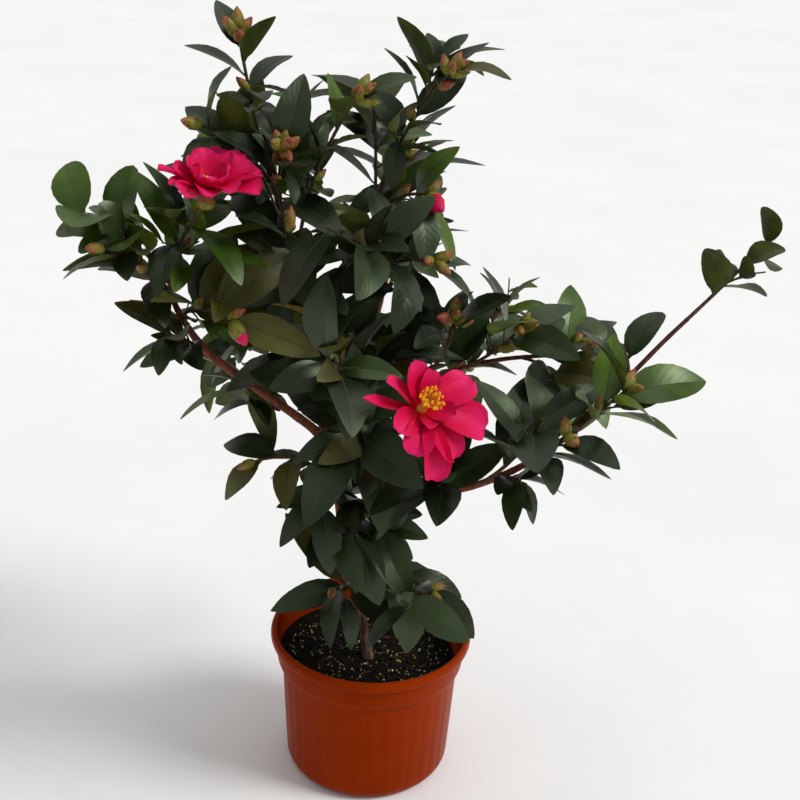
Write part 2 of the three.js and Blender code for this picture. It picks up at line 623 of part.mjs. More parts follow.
// A bloom: a stalk with its calyx, two whorls of petals and a head of stamens
function bloomSolid(bloom, stem) {
  const facing = bloom.facing.clone().normalize();
  const lead = stem.getTangent(1);
  const stalk = stemCurve(stem.getPoint(1).addScaledVector(lead, 1.5 * CLEAR), lead, bloom.heart);
  const rod = solidOf(rodGeometry(stalk, tapered(STALK_RADIUS, STALK_RADIUS), STALK_SIDES, TWIG_STEPS));
  const parts = [
    solidOf(turnedGeometry(CALYX_PROFILE, BLOOM_SIDES, bloom.heart, facing)),
    solidOf(turnedGeometry(STAMEN_PROFILE, BLOOM_SIDES, bloom.heart, facing)),
  ];
  const draw = drawsFrom(bloom.seed);
  for (const whorl of WHORLS) {
    for (let index = 0; index < whorl.petals; index += 1) {
      const turn = whorl.turn + (360 * index) / whorl.petals + (draw() - 0.5) * PETAL_RANGE;
      const outward = outwardAt(facing, turn);
      const direction = tilted(facing, outward, whorl.open + (draw() - 0.5) * PETAL_RANGE);
      const face = facing.clone().addScaledVector(direction, -facing.dot(direction)).normalize();
      const length = bloom.petalLength * whorl.share * sized(PETAL_SIZE, draw());
      const foot = bloom.heart.clone().addScaledVector(facing, PETAL_ROOT_UP);
      foot.addScaledVector(outward, PETAL_ROOT_OUT);
      const halfWidth = PETAL_HALF_WIDTH * length;
      const petal = { foot, direction, face, length, halfWidth, curl: PETAL_CURL * length };
      parts.push(solidOf(bladeGeometry(petal, PETAL_OUTLINE)));
    }
  }
  return parts.reduce((whole, part) => fusedWith(whole, part) || whole, wholePiece(rod));
}

// Sprays: first every stem with its twigs, then the leaves and buds, so that no leaf crosses a twig
function sprayRods(growth, extra) {
  const stemTaper = tapered(STEM_RADIUS + extra, STEM_TIP_RADIUS + extra);
  const twigTaper = tapered(STEM_TIP_RADIUS + extra, TWIG_SHARE * STEM_TIP_RADIUS + extra);
  const stem = solidOf(rodGeometry(growth.stem, stemTaper, TWIG_SIDES, STEM_STEPS));
  const twigs = growth.twigs.map((twig) => solidOf(rodGeometry(twig, twigTaper, TWIG_SIDES, TWIG_STEPS)));
  return wasm.Manifold.union([stem, ...twigs]);
}

function sprayWood(growth, earlier) {
  let wood = sprayRods(growth, 0);
  for (const solid of [...swollen.values(), ...earlier]) wood = wood.subtract(solid);
  return wholePiece(wood);
}

function dressSpray(spray, growth, wood) {
  const carried = [];
  const middle = growth.stem.getPoint(0.5);
  const space = 0.6 * growth.stem.getLength() + 1.3 * spray.leafLength;
  let whole = wood;
  const tryOn = (solid) => {
    if (!isClear(solid, spray.name) || crosses(solid, carried)) return false;
    const next = fusedWith(whole, solid);
    if (!next) return false;
    whole = next;
    carried.push(solid);
    return true;
  };
  for (const bud of growth.buds.slice(0, SOLID_BUDS)) tryOn(solidOf(budGeometry(bud)));
  for (const leaf of growth.leaves) {
    LEAF_TRIES.some((turn) => {
      const tried = turnedLeaf(leaf, turn);
      const tip = tried.foot.clone().addScaledVector(tried.direction, tried.length);
      return tip.distanceTo(middle) < space && tryOn(solidOf(bladeGeometry(tried, LEAF_OUTLINE)));
    });
  }
  return whole;
}

function turnedLeaf(leaf, degrees) {
  const turned = (way) => way.clone().applyAxisAngle(leaf.along, degrees * DEGREE);
  return { ...leaf, direction: turned(leaf.direction), face: turned(leaf.face) };
}

const pot = solidOf(turnedGeometry(potProfile(), POT_SIDES, at(0, 0, 0), UP));
const soil = solidOf(turnedGeometry(soilProfile(), POT_SIDES, at(0, 0, 0), UP));
place('pot', pot);
addMesh('pot', pot, POT_PLASTIC);
place('soil', soil);
addMesh('soil', soil, SOIL_MIX);
buildLimbs();

const growths = new Map(SPRAYS.map((spray) => [spray.name, growSpray(spray, limbCurves.get(spray.on))]));
for (const bloom of BLOOMS) {
  const stem = growths.has(bloom.on) ? growths.get(bloom.on).stem : limbCurves.get(bloom.on);
  const solid = bloomSolid(bloom, stem);
  place(bloom.name, solid);
  addMesh(bloom.name, solid, PETAL);
}
const woods = new Map();
const grown = [];
for (const spray of SPRAYS) {
  const growth = growths.get(spray.name);
  const wood = sprayWood(growth, grown);
  grown.push(sprayRods(growth, 2 * SWELL));
  woods.set(spray.name, wood);
  place(spray.name, wood);
}
for (const spray of SPRAYS) {
  const solid = dressSpray(spray, growths.get(spray.name), woods.get(spray.name));
  placed.splice(placed.findIndex((other) => other.name === spray.name), 1);
  place(spray.name, solid);
  addMesh(spray.name, solid, LEAF);
}

export default meshes;
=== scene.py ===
"""Camellia shrub in its nursery pot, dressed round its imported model.

The pot, soil, trunk and boughs are made again with their relief. Each leafy spray grows again by the
model's own seeded rule and goes on to finer twigs, with shaped leaves, scaly buds and open blooms.
Lengths are in millimetres until a mesh is made. The frame is the model's: Z up, X to the right and Y
away from the viewer, with the origin under the middle of the pot.
"""

from __future__ import annotations

import json
import logging
import math
from dataclasses import dataclass, replace
from enum import Enum
from functools import cache
from typing import Callable, ClassVar, Iterable, Protocol, Sequence

import bpy
import numpy as np
from mathutils import Matrix, Vector
from mathutils.kdtree import KDTree

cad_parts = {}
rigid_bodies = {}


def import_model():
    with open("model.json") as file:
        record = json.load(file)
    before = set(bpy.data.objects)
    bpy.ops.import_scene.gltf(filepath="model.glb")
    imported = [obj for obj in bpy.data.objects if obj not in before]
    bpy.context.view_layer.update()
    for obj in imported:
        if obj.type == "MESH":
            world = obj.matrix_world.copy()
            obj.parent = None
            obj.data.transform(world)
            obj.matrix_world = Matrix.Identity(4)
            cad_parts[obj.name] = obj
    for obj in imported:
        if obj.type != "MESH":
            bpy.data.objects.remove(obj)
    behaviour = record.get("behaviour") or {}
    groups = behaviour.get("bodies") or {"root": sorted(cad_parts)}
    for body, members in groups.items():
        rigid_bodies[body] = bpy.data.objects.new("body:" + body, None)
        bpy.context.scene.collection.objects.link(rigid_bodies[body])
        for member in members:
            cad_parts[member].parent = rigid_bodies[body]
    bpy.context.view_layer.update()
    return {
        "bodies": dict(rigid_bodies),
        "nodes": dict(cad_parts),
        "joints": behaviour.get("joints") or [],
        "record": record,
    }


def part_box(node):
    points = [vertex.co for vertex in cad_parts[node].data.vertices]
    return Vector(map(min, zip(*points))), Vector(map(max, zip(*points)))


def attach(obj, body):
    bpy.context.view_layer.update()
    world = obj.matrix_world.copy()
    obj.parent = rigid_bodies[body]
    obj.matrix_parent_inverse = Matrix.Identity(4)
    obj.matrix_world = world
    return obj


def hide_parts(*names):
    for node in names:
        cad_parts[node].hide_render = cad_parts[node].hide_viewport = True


LOG = logging.getLogger("camellia")
Vec = np.ndarray
Pair = tuple[float, float]
Point = tuple[float, float, float]
Tone = tuple[int, int, int]
Colour = tuple[float, float, float, float]
MM = 0.001
BODY = "root"
UP = np.array((0.0, 0.0, 1.0))


class Slot(Enum):
    """The record's material slots."""

    POT = "pot_plastic"
    SOIL = "soil_mix"
    BARK = "bark"
    LEAF = "leaf"
    PETAL = "petal"


class Tint(Enum):
    """The leaf colours that the sprays are dealt."""

    DEEP = "deep"
    GREEN = "green"
    # Young leaves: lighter green, partly painted light shining through them from behind.
    FRESH = "fresh"
    OLIVE = "olive"


class Mix(Enum):
    """How a spray's leaves are dealt their tints: a share for each tint, in their order."""

    DARK = (0.7, 0.25, 0.0, 0.05)
    MIXED = (0.45, 0.37, 0.1, 0.08)
    BRIGHT = (0.1, 0.5, 0.4, 0.0)
    VIVID = (0.0, 0.3, 0.7, 0.0)
    BROWNED = (0.2, 0.25, 0.05, 0.5)


class BudStage(Enum):
    """How open a spray's first bud is: shares of the plain length and radius, and where petals start."""

    CLOSED = (1.0, 1.0, 2.0)
    CALYX = (0.85, 1.55, 2.0)
    SHOWING = (1.15, 1.25, 0.62)
    OPENING = (1.35, 1.75, 0.34)


# The model's own sizes and rule, in millimetres, degrees and shares

STEM_RADIUS = 1.3
STEM_TIP_RADIUS = 0.95
TWIG_SHARE = 0.8
STEM_STEPS = 4
TWIG_STEPS = 2
LEAF_TRIES = (0, 26, -26, 52, -52)
GOLDEN_TURN = 137.5
TURNS_FROM = np.array((0.3, -0.7, -0.65))
ROUND_BREADTH = 1.55
BUD_LENGTH = 15.0
BUD_RADIUS = 3.8


@dataclass(frozen=True)
class LeafRule:
    """How leaves stand along a stem: shares of the stem or leaf, angles, and ranges of a draw."""

    start: float = 0.22
    span: float = 0.77
    lag: float = 0.6
    turn_range: float = 50
    open: float = 74
    closing: float = 30
    open_range: float = 46
    lift_range: float = 0.5
    roll_range: float = 60
    face_along: float = 0.5
    face_up: float = 0.8
    size: Pair = (0.8, 0.4)
    half_width: Pair = (0.185, 0.06)
    curl: Pair = (0.08, 0.2)


@dataclass(frozen=True)
class TwigRule:
    """How side twigs branch from a stem."""

    start: float = 0.3
    span: float = 0.5
    turn: float = 90
    turn_step: float = 180
    turn_range: float = 60
    open: Pair = (40, 16)
    lift: float = 0.25
    reach: Pair = (0.5, 0.2)


@dataclass(frozen=True)
class BudRule:
    """How buds crowd at a stem's tip and stand singly along it."""

    turn: float = 40
    single_lean: float = 12
    lean: Pair = (16, 52)
    back: float = 7
    size: Pair = (0.82, 0.32)
    side_start: float = 0.5
    side_step: float = 0.32
    side_lean: float = 34
    side_size: Pair = (0.78, 0.2)


@dataclass(frozen=True)
class Limb:
    """A tapering limb: its name, its foot and tip radius, and the four points of its curve."""

    name: str
    radii: Pair
    points: tuple[Point, ...]


LIMBS = (
    Limb("trunk", (3.5, 3.9), ((-0.8, 0, 80.3), (-4.5, 0, 128.5), (-31.2, 0, 196.6), (-28, 0, 268))),
    Limb("left_bough", (3.4, 2.6), ((-30, -1, 258), (-46, -4, 288), (-96, -12, 312), (-122, -20, 345))),
    Limb(
        "left_bough_end", (2.5, 1.7),
        ((-122, -20, 345), (-130, -22, 359), (-139, -24, 372), (-139, -26, 390)),
    ),
    Limb("rising_bough", (2.9, 1.3), ((-28, 1, 260), (-38, 6, 320), (-58, 8, 385), (-82, 2, 474))),
    Limb("middle_bough", (2.6, 1.3), ((-27, 2, 260), (-22, 16, 320), (-14, 28, 380), (-4, 30, 449))),
    Limb("right_upper_bough", (2.5, 1.3), ((-26, 1, 252), (-6, 4, 298), (38, 12, 330), (121, 30, 328))),
    Limb(
        "right_lower_bough", (2.9, 1.9),
        ((-23, -1, 215), (12, -30, 244), (72, -62, 252), (127, -75, 320)),
    ),
    Limb("long_shoot", (1.8, 1.3), ((127, -75, 320), (142, -77, 338), (168, -68, 370), (192, -60, 393))),
    Limb("front_bough", (2.3, 1.3), ((-27, -2, 250), (-24, -36, 285), (-10, -66, 300), (14, -92, 332))),
    Limb("back_bough", (2.5, 1.3), ((-26, 2, 248), (-22, 42, 290), (-2, 72, 330), (4, 92, 392))),
    Limb("back_left_bough", (2.4, 1.3), ((-27, 1, 240), (-48, 34, 284), (-74, 58, 322), (-92, 72, 384))),
    Limb("back_right_bough", (2.4, 1.3), ((-24, 1, 228), (8, 34, 262), (48, 60, 286), (82, 82, 334))),
)


@dataclass(frozen=True)
class Spray:
    """A leafy stem: the limb it stands on, how far along, its tip, its seed and what it carries.

    The finest twigs have a seed of their own, and bare numbers the leaves that are left off where the
    crown is open.
    """

    name: str
    on: str
    along: float
    tip: Point
    seed: int
    leaves: int
    leaf_length: float
    buds: int
    side_buds: int
    fine_twigs: int
    fine_seed: int
    twigs: int = 0
    twig_leaves: int = 0
    bare: tuple[int, ...] = ()
    mix: Mix = Mix.DARK
    stage: BudStage = BudStage.CLOSED
    breadth: float = 1.0


# Each row: name, limb, how far along it, tip, seed, leaves and their length, buds at the tip and
# along the side, finest twigs and their seed, and for some side twigs and the leaves on each
SPRAYS = (
    Spray(
        "top_left_spray", "rising_bough", 1, (-97, 0, 548), 905, 7, 46, 6, 2, 1, 210, bare=(6,),
        mix=Mix.MIXED,
    ),
    Spray("left_tuft", "rising_bough", 0.9, (-117, -22, 492), 518, 6, 41, 1, 0, 6, 195, mix=Mix.MIXED),
    Spray("bud_tuft", "rising_bough", 0.8, (-65, -36, 485), 1811, 6, 52, 7, 2, 6, 132, bare=(5,)),
    Spray(
        "mid_top_spray", "rising_bough", 0.66, (-20, -5, 513), 2401, 9, 38, 4, 1, 6, 73, 1, 4,
        mix=Mix.MIXED,
    ),
    Spray(
        "centre_left_spray", "rising_bough", 0.5, (-61, -42, 435), 38, 6, 56, 2, 0, 3, 14, 1, 3,
        mix=Mix.MIXED,
    ),
    Spray(
        "top_right_spray", "middle_bough", 1, (38, 10, 528), 2329, 9, 43, 5, 2, 6, 210, 1, 3, bare=(5, 7),
    ),
    Spray(
        "upright_spray", "middle_bough", 0.8, (-13, 48, 500), 116, 7, 54, 0, 0, 3, 3, 1, 3, bare=(9,),
        mix=Mix.MIXED,
    ),
    Spray(
        "red_bud_spray", "middle_bough", 0.88, (26, 2, 448), 1860, 6, 53, 2, 1, 3, 22, bare=(2, 5),
        mix=Mix.BRIGHT, stage=BudStage.OPENING,
    ),
    Spray("mid_right_spray", "middle_bough", 0.62, (33, -15, 408), 246, 7, 52, 3, 0, 4, 28, mix=Mix.MIXED),
    Spray(
        "centre_up_spray", "middle_bough", 0.5, (-3, -46, 430), 874, 8, 55, 0, 0, 3, 11, 1, 3,
        bare=(4, 8),
    ),
    Spray(
        "left_bloom_spray", "left_bough_end", 1, (-121, -44, 436), 423, 8, 57, 0, 1, 4, 31, bare=(1,),
        mix=Mix.BRIGHT,
    ),
    Spray(
        "far_left_spray", "left_bough_end", 0.94, (-190, -50, 441), 31, 7, 43, 0, 0, 5, 108,
        mix=Mix.VIVID, breadth=ROUND_BREADTH,
    ),
    Spray(
        "left_mid_spray", "left_bough_end", 0.72, (-173, -62, 421), 962, 8, 46, 1, 1, 4, 15,
        mix=Mix.BROWNED,
    ),
    Spray(
        "left_low_spray", "left_bough", 0.92, (-138, -48, 362), 6402, 7, 40, 0, 0, 3, 11, mix=Mix.BROWNED,
    ),
    Spray(
        "olive_spray", "left_bough_end", 0.4, (-94, -64, 379), 2409, 9, 56, 2, 1, 4, 1, bare=(4, 6),
        mix=Mix.BROWNED, stage=BudStage.SHOWING,
    ),
    Spray("dark_left_spray", "left_bough", 0.62, (-90, 24, 288), 582, 6, 50, 0, 0, 4, 23),
    Spray("low_left_spray", "trunk", 0.87, (-85, -16, 257), 308, 5, 48, 1, 0, 1, 8, mix=Mix.BROWNED),
    Spray("under_left_spray", "trunk", 0.75, (-37, -46, 242), 1119, 7, 46, 0, 0, 4, 7, bare=(5,)),
    Spray("under_mid_spray", "trunk", 0.68, (7, -52, 226), 1309, 8, 54, 0, 0, 4, 19, 1, 3),
    Spray("pot_left_spray", "trunk", 0.37, (-27, -36, 168), 1260, 6, 56, 1, 0, 1, 30),
    Spray("pot_right_spray", "trunk", 0.45, (43, -46, 176), 4050, 7, 52, 2, 0, 3, 19, bare=(0, 5)),
    Spray(
        "bud_row_left", "right_upper_bough", 0.5, (47, -22, 373), 939, 6, 52, 4, 0, 3, 23, bare=(1, 3),
        mix=Mix.MIXED,
    ),
    Spray(
        "bud_row_right", "right_upper_bough", 0.72, (94, 0, 360), 560, 7, 52, 4, 1, 3, 7, bare=(1, 6),
        mix=Mix.BRIGHT,
    ),
    Spray(
        "right_tip_spray", "right_upper_bough", 1, (138, 27, 339), 2470, 7, 53, 2, 0, 1, 0, mix=Mix.MIXED,
    ),
    Spray(
        "round_leaf_spray", "right_upper_bough", 0.9, (122, -6, 323), 2373, 5, 44, 0, 0, 4, 1,
        mix=Mix.MIXED, breadth=ROUND_BREADTH,
    ),
    Spray("long_leaf_spray", "right_lower_bough", 0.66, (102, -94, 335), 344, 6, 60, 0, 0, 2, 0),
    Spray(
        "lower_tip_spray", "right_lower_bough", 0.97, (154, -90, 356), 364, 7, 54, 2, 1, 2, 25,
        mix=Mix.VIVID,
    ),
    Spray(
        "shoot_foot_spray", "long_shoot", 0.5, (152, -58, 373), 1507, 4, 36, 0, 0, 3, 14, mix=Mix.BRIGHT,
        breadth=ROUND_BREADTH,
    ),
    Spray(
        "shoot_tip_spray", "long_shoot", 1, (241, -40, 440), 1267, 6, 30, 0, 0, 2, 16,
        breadth=ROUND_BREADTH,
    ),
    Spray("hanging_right_spray", "right_lower_bough", 0.86, (118, -104, 328), 5878, 6, 46, 2, 0, 4, 2),
    Spray("hanging_low_spray", "right_lower_bough", 0.72, (94, -84, 285), 2900, 5, 36, 0, 0, 3, 7),
    Spray("front_low_spray", "right_lower_bough", 0.4, (45, -92, 291), 541, 7, 56, 0, 0, 3, 26, bare=(1,)),
    Spray("front_left_spray", "front_bough", 0.7, (-21, -96, 316), 2072, 7, 56, 0, 0, 3, 10, bare=(6,)),
    Spray("centre_front_spray", "front_bough", 0.4, (-29, -68, 374), 1095, 8, 58, 0, 0, 4, 10, 1, 3),
    Spray("heart_left_spray", "rising_bough", 0.22, (-61, -26, 352), 1889, 7, 56, 0, 0, 3, 32, bare=(4,)),
    Spray("heart_right_spray", "middle_bough", 0.25, (9, -30, 342), 407, 7, 56, 0, 0, 4, 31),
    Spray("back_top_spray", "back_bough", 1, (9, 104, 452), 1013, 8, 53, 4, 1, 3, 4, 1, 3),
    Spray("back_mid_spray", "back_bough", 0.62, (6, 136, 372), 555, 7, 53, 2, 0, 4, 21, 1, 3),
    Spray(
        "back_left_spray", "back_left_bough", 1, (-122, 84, 435), 2354, 8, 56, 3, 1, 4, 29, 1, 3,
        mix=Mix.MIXED,
    ),
    Spray("back_left_low_spray", "back_left_bough", 0.6, (-123, 112, 314), 1229, 7, 53, 1, 0, 4, 11, 1, 3),
    Spray(
        "back_right_spray", "back_right_bough", 1, (91, 100, 336), 2191, 8, 42, 3, 1, 4, 20, 1, 3,
        mix=Mix.MIXED,
    ),
    Spray("back_right_low_spray", "back_right_bough", 0.6, (66, 112, 283), 186, 7, 50, 1, 0, 4, 32, 1, 3),
)
SPRAY_NAMES = [spray.name for spray in SPRAYS]


def unit(way: Vec) -> Vec:
    """The way at length one, along the last axis."""
    return way / np.linalg.norm(way, axis=-1, keepdims=True)


def smooth(share: Vec, low: float, high: float) -> Vec:
    """0 below low, 1 above high, and three t squared less two t cubed between them."""
    t = np.clip((np.asarray(share, float) - low) / (high - low), 0, 1)
    return t * t * (3 - 2 * t)


def turned(way: Vec, axis: Vec, degrees: float) -> Vec:
    """The way turned about an axis of length one, by Rodrigues' formula."""
    angle = math.radians(degrees)
    spun = way * math.cos(angle) + np.cross(axis, way) * math.sin(angle)
    return spun + axis * float(axis @ way) * (1 - math.cos(angle))


def outward_at(along: Vec, turn: float) -> Vec:
    """The way square to a stem at a turn, counted from the side that faces down and forward.

    Args:
        along: The stem's way there, of length one.
        turn: Degrees round the stem.

    Returns:
        A way of length one.
    """
    turn_from = unit(TURNS_FROM)
    first = unit(turn_from - along * float(turn_from @ along))
    angle = math.radians(turn)
    return first * math.cos(angle) + np.cross(along, first) * math.sin(angle)


def tilted(along: Vec, outward: Vec, degrees: float) -> Vec:
    """The way that leaves a stem at an angle towards outward."""
    angle = math.radians(degrees)
    return along * math.cos(angle) + outward * math.sin(angle)


def sized(pair: Pair, fraction: float) -> float:
    """A size from its least value and the range that a drawn fraction adds."""
    return pair[0] + pair[1] * fraction


class Draws:
    """A seeded run of fractions between 0 and 1: each state is the last one times a factor plus a step."""

    FACTOR = 1664525
    STEP = 1013904223
    MODULUS = 4294967296

    def __init__(self, seed: int) -> None:
        """Starts the run at its seed."""
        self.state = seed

    def next(self) -> float:
        """The next fraction."""
        self.state = (self.state * self.FACTOR + self.STEP) % self.MODULUS
        return self.state / self.MODULUS

    def range(self, width: float) -> float:
        """A draw from minus to plus half of a width."""
        return (self.next() - 0.5) * width


class Curve:
    """A Bezier curve through its first and last point, bent by those between."""

    NEAR = 1e-4
    DIVISIONS = 200

    def __init__(self, *points: Sequence[float]) -> None:
        """Keeps the curve's points."""
        self.points = np.array(points, float)

    def at(self, share: float | Vec) -> Vec:
        """The points at some shares: the curve's points weighed by Bernstein's polynomials.

        Args:
            share: One share of the curve, or an array of them.

        Returns:
            A point for each share.
        """
        t = np.asarray(share, float)[..., None]
        last = len(self.points) - 1
        weights = [math.comb(last, k) * t**k * (1 - t) ** (last - k) for k in range(last + 1)]
        return sum(weight * point for weight, point in zip(weights, self.points))

    def tangent(self, share: float) -> Vec:
        """The curve's way at a share, from two points close to it."""
        low, high = max(share - self.NEAR, 0.0), min(share + self.NEAR, 1.0)
        return unit(self.at(high) - self.at(low))

    def length(self) -> float:
        """The curve's length in many straight steps."""
        points = self.at(np.linspace(0, 1, self.DIVISIONS + 1))
        return float(np.linalg.norm(np.diff(points, axis=0), axis=1).sum())

    def step_point(self, share: float, steps: int) -> Vec:
        """The point at a share of the curve when it is made of straight steps."""
        step = min(math.floor(share * steps), steps - 1)
        start, end = self.at(step / steps), self.at((step + 1) / steps)
        return start + (end - start) * (share * steps - step)


def stem_curve(foot: Vec, lead: Vec, tip: Vec) -> Curve:
    """A stem that leaves its bough half along the bough and half towards its own tip."""
    reach = float(np.linalg.norm(tip - foot))
    bend = foot + unit(unit(tip - foot) + lead) * 0.5 * reach
    return Curve(foot, bend, tip)


@dataclass
class Leaf:
    """A leaf's foot, its ways and its sizes."""

    foot: Vec
    along: Vec
    direction: Vec
    face: Vec
    length: float
    half_width: float
    curl: float

    def tip(self) -> Vec:
        """The leaf's furthest point: its length along its way, less its curl under its face."""
        return self.foot + self.direction * self.length - self.face * self.curl

    def turned_by(self, degrees: float) -> Leaf:
        """The same leaf, turned about its stem."""
        ways = (turned(way, self.along, degrees) for way in (self.direction, self.face))
        direction, face = ways
        return replace(self, direction=direction, face=face)


@dataclass
class Bud:
    """A bud's foot, its way and its size."""

    foot: Vec
    direction: Vec
    size: float


@dataclass
class Growth:
    """What one spray grows: its stem, side twigs, leaves and buds."""

    spray: Spray
    stem: Curve
    twigs: list[Curve]
    leaves: list[Leaf]
    buds: list[Bud]


class Grower:
    """Grows a spray by the model's seeded rule, draw for draw."""

    leaf_rule = LeafRule()
    twig_rule = TwigRule()
    bud_rule = BudRule()

    def leaves_on(
        self, curve: Curve, steps: int, count: int, spray: Spray, turn: float, draws: Draws
    ) -> list[Leaf]:
        """Leaves that stand by turns round a stem, wide open at its foot and closing to its tip.

        Args:
            curve: The stem or twig.
            steps: Into how many straight steps the model divides it.
            count: How many leaves.
            spray: The spray that gives their size and breadth.
            turn: Where the first leaf stands, in degrees.
            draws: The spray's run of fractions.

        Returns:
            The leaves from foot to tip.
        """
        rule, leaves = self.leaf_rule, []
        for index in range(count):
            share = rule.start + rule.span * ((index + rule.lag) / count)
            along = curve.tangent(share)
            swing = turn + index * GOLDEN_TURN + draws.range(rule.turn_range)
            opening = rule.open - rule.closing * share + draws.range(rule.open_range)
            direction = tilted(along, outward_at(along, swing), opening)
            direction = unit(direction + UP * draws.range(rule.lift_range))
            face = along * rule.face_along + UP * rule.face_up
            face = unit(face - direction * float(face @ direction))
            face = turned(face, direction, draws.range(rule.roll_range))
            length = spray.leaf_length * sized(rule.size, draws.next())
            half_width = spray.breadth * length * sized(rule.half_width, draws.next())
            curl = length * sized(rule.curl, draws.next())
            foot = curve.step_point(share, steps)
            leaves.append(Leaf(foot, along, direction, face, length, half_width, curl))
        return leaves

    def twigs_on(self, stem: Curve, count: int, turn: float, draws: Draws) -> list[Curve]:
        """The side twigs of a stem: they branch from it by turns and rise a little.

        Args:
            stem: The stem.
            count: How many twigs.
            turn: Where the turns start, in degrees.
            draws: The spray's run of fractions.

        Returns:
            The twigs from foot to tip.
        """
        rule, twigs = self.twig_rule, []
        for index in range(count):
            share = rule.start + rule.span * ((index + draws.next()) / count)
            along = stem.tangent(share)
            swing = turn + rule.turn + rule.turn_step * index + draws.range(rule.turn_range)
            direction = tilted(along, outward_at(along, swing), sized(rule.open, draws.next()))
            direction = unit(direction + UP * rule.lift)
            foot = stem.step_point(share, STEM_STEPS)
            tip = foot + direction * stem.length() * sized(rule.reach, draws.next())
            twigs.append(stem_curve(foot, along, tip))
        return twigs

    def buds_on(self, stem: Curve, tip_buds: int, side_buds: int, draws: Draws) -> list[Bud]:
        """Buds that crowd at a stem's tip, and single ones along it.

        Args:
            stem: The stem.
            tip_buds: How many stand at its tip.
            side_buds: How many stand along it.
            draws: The spray's run of fractions.

        Returns:
            The buds, those of the tip first.
        """
        rule, buds = self.bud_rule, []
        tip_way = stem.tangent(1.0)
        for index in range(tip_buds):
            outward = outward_at(tip_way, index * GOLDEN_TURN + rule.turn * draws.next())
            lean = rule.single_lean if tip_buds == 1 else sized(rule.lean, (index + 0.5) / tip_buds)
            foot = stem.at(1.0) - tip_way * rule.back * (index / tip_buds)
            buds.append(Bud(foot, tilted(tip_way, outward, lean), sized(rule.size, draws.next())))
        for index in range(side_buds):
            share = rule.side_start + rule.side_step * index
            along = stem.tangent(share)
            direction = tilted(along, outward_at(along, 360 * draws.next()), rule.side_lean)
            foot = stem.step_point(share, STEM_STEPS)
            buds.append(Bud(foot, direction, sized(rule.side_size, draws.next())))
        return buds

    def grow(self, spray: Spray, limb: Curve) -> Growth:
        """Grows one spray on its limb.

        Args:
            spray: What it carries.
            limb: The curve that it stands on.

        Returns:
            Its stem, twigs, leaves and buds.
        """
        draws = Draws(spray.seed)
        foot, lead = limb.at(spray.along), limb.tangent(spray.along)
        stem = stem_curve(foot, lead, np.array(spray.tip, float))
        turn = 360 * draws.next()
        twigs = self.twigs_on(stem, spray.twigs, turn, draws)
        leaves = self.leaves_on(stem, STEM_STEPS, spray.leaves, spray, turn, draws)
        for twig in twigs:
            leaves += self.leaves_on(twig, TWIG_STEPS, spray.twig_leaves, spray, 360 * draws.next(), draws)
        buds = self.buds_on(stem, spray.buds, spray.side_buds, draws)
        return Growth(spray, stem, twigs, leaves, buds)


class Packed:
    """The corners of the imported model's nodes, by which the leaves that it kept are found."""

    FOUND_WITHIN = 0.08

    def __init__(self, nodes: dict[str, bpy.types.Object]) -> None:
        """Builds a search tree for each node.

        Args:
            nodes: The model's nodes by name.
        """
        self.trees: dict[str, KDTree] = {}
        for name, node in nodes.items():
            vertices = node.data.vertices
            tree = KDTree(len(vertices))
            for index, vertex in enumerate(vertices):
                tree.insert(vertex.co / MM, index)
            tree.balance()
            self.trees[name] = tree

    def holds(self, name: str, point: Vec) -> bool:
        """Whether a corner of the node lies at the point."""
        return self.trees[name].find(Vector(point))[2] < self.FOUND_WITHIN

    def kept_leaves(self, growth: Growth) -> list[Leaf]:
        """The leaves that the model kept, each one turned as the model turned it.

        Args:
            growth: The spray as the rule grows it.

        Returns:
            For each leaf, the first of its turns whose tip is a corner of the spray's node.
        """
        kept = []
        for leaf in growth.leaves:
            tries = (leaf.turned_by(turn) for turn in LEAF_TRIES)
            found = next((tried for tried in tries if self.holds(growth.spray.name, tried.tip())), None)
            if found:
                kept.append(found)
        return kept


def operators(operation: str) -> tuple[Callable, Callable]:
    """An operator that adds a Math node to two values, and its reflected form.

    Args:
        operation: The Math node's operation.

    Returns:
        The operator and its reflected form.
    """

    def plain(self: Signal, other: Signal | float) -> Signal:
        """The result with the signal first."""
        return self.book.math(operation, self, other)

    def reflected(self: Signal, other: float) -> Signal:
        """The result with the signal last."""
        return self.book.math(operation, other, self)

    return plain, reflected


class Signal:
    """A socket of a node tree, with the arithmetic that adds Math nodes to it."""

    def __init__(self, book: NodeBook, socket: bpy.types.NodeSocket) -> None:
        """Keeps the socket and the tree that it is in."""
        self.book = book
        self.socket = socket

    __add__, __radd__ = operators("ADD")
    __sub__, __rsub__ = operators("SUBTRACT")
    __mul__, __rmul__ = operators("MULTIPLY")

    def sine(self) -> Signal:
        """The sine."""
        return self.book.math("SINE", self)

    def absolute(self) -> Signal:
        """The value without its sign."""
        return self.book.math("ABSOLUTE", self)

    def fraction(self) -> Signal:
        """The part after the point."""
        return self.book.math("FRACT", self)

    def ramp(self, low: float, high: float) -> Signal:
        """A smooth rise from 0 at low to 1 at high."""
        settings = {"interpolation_type": "SMOOTHSTEP"}
        links = {"Value": self, "From Min": low, "From Max": high}
        return self.book.node("ShaderNodeMapRange", settings, links)["Result"]


class Outputs:
    """A node's output sockets by name, as signals."""

    def __init__(self, book: NodeBook, node: bpy.types.Node) -> None:
        """Keeps the node."""
        self.book = book
        self.made = node

    def __getitem__(self, name: str | int) -> Signal:
        """The output of that name or number."""
        return Signal(self.book, self.made.outputs[name])


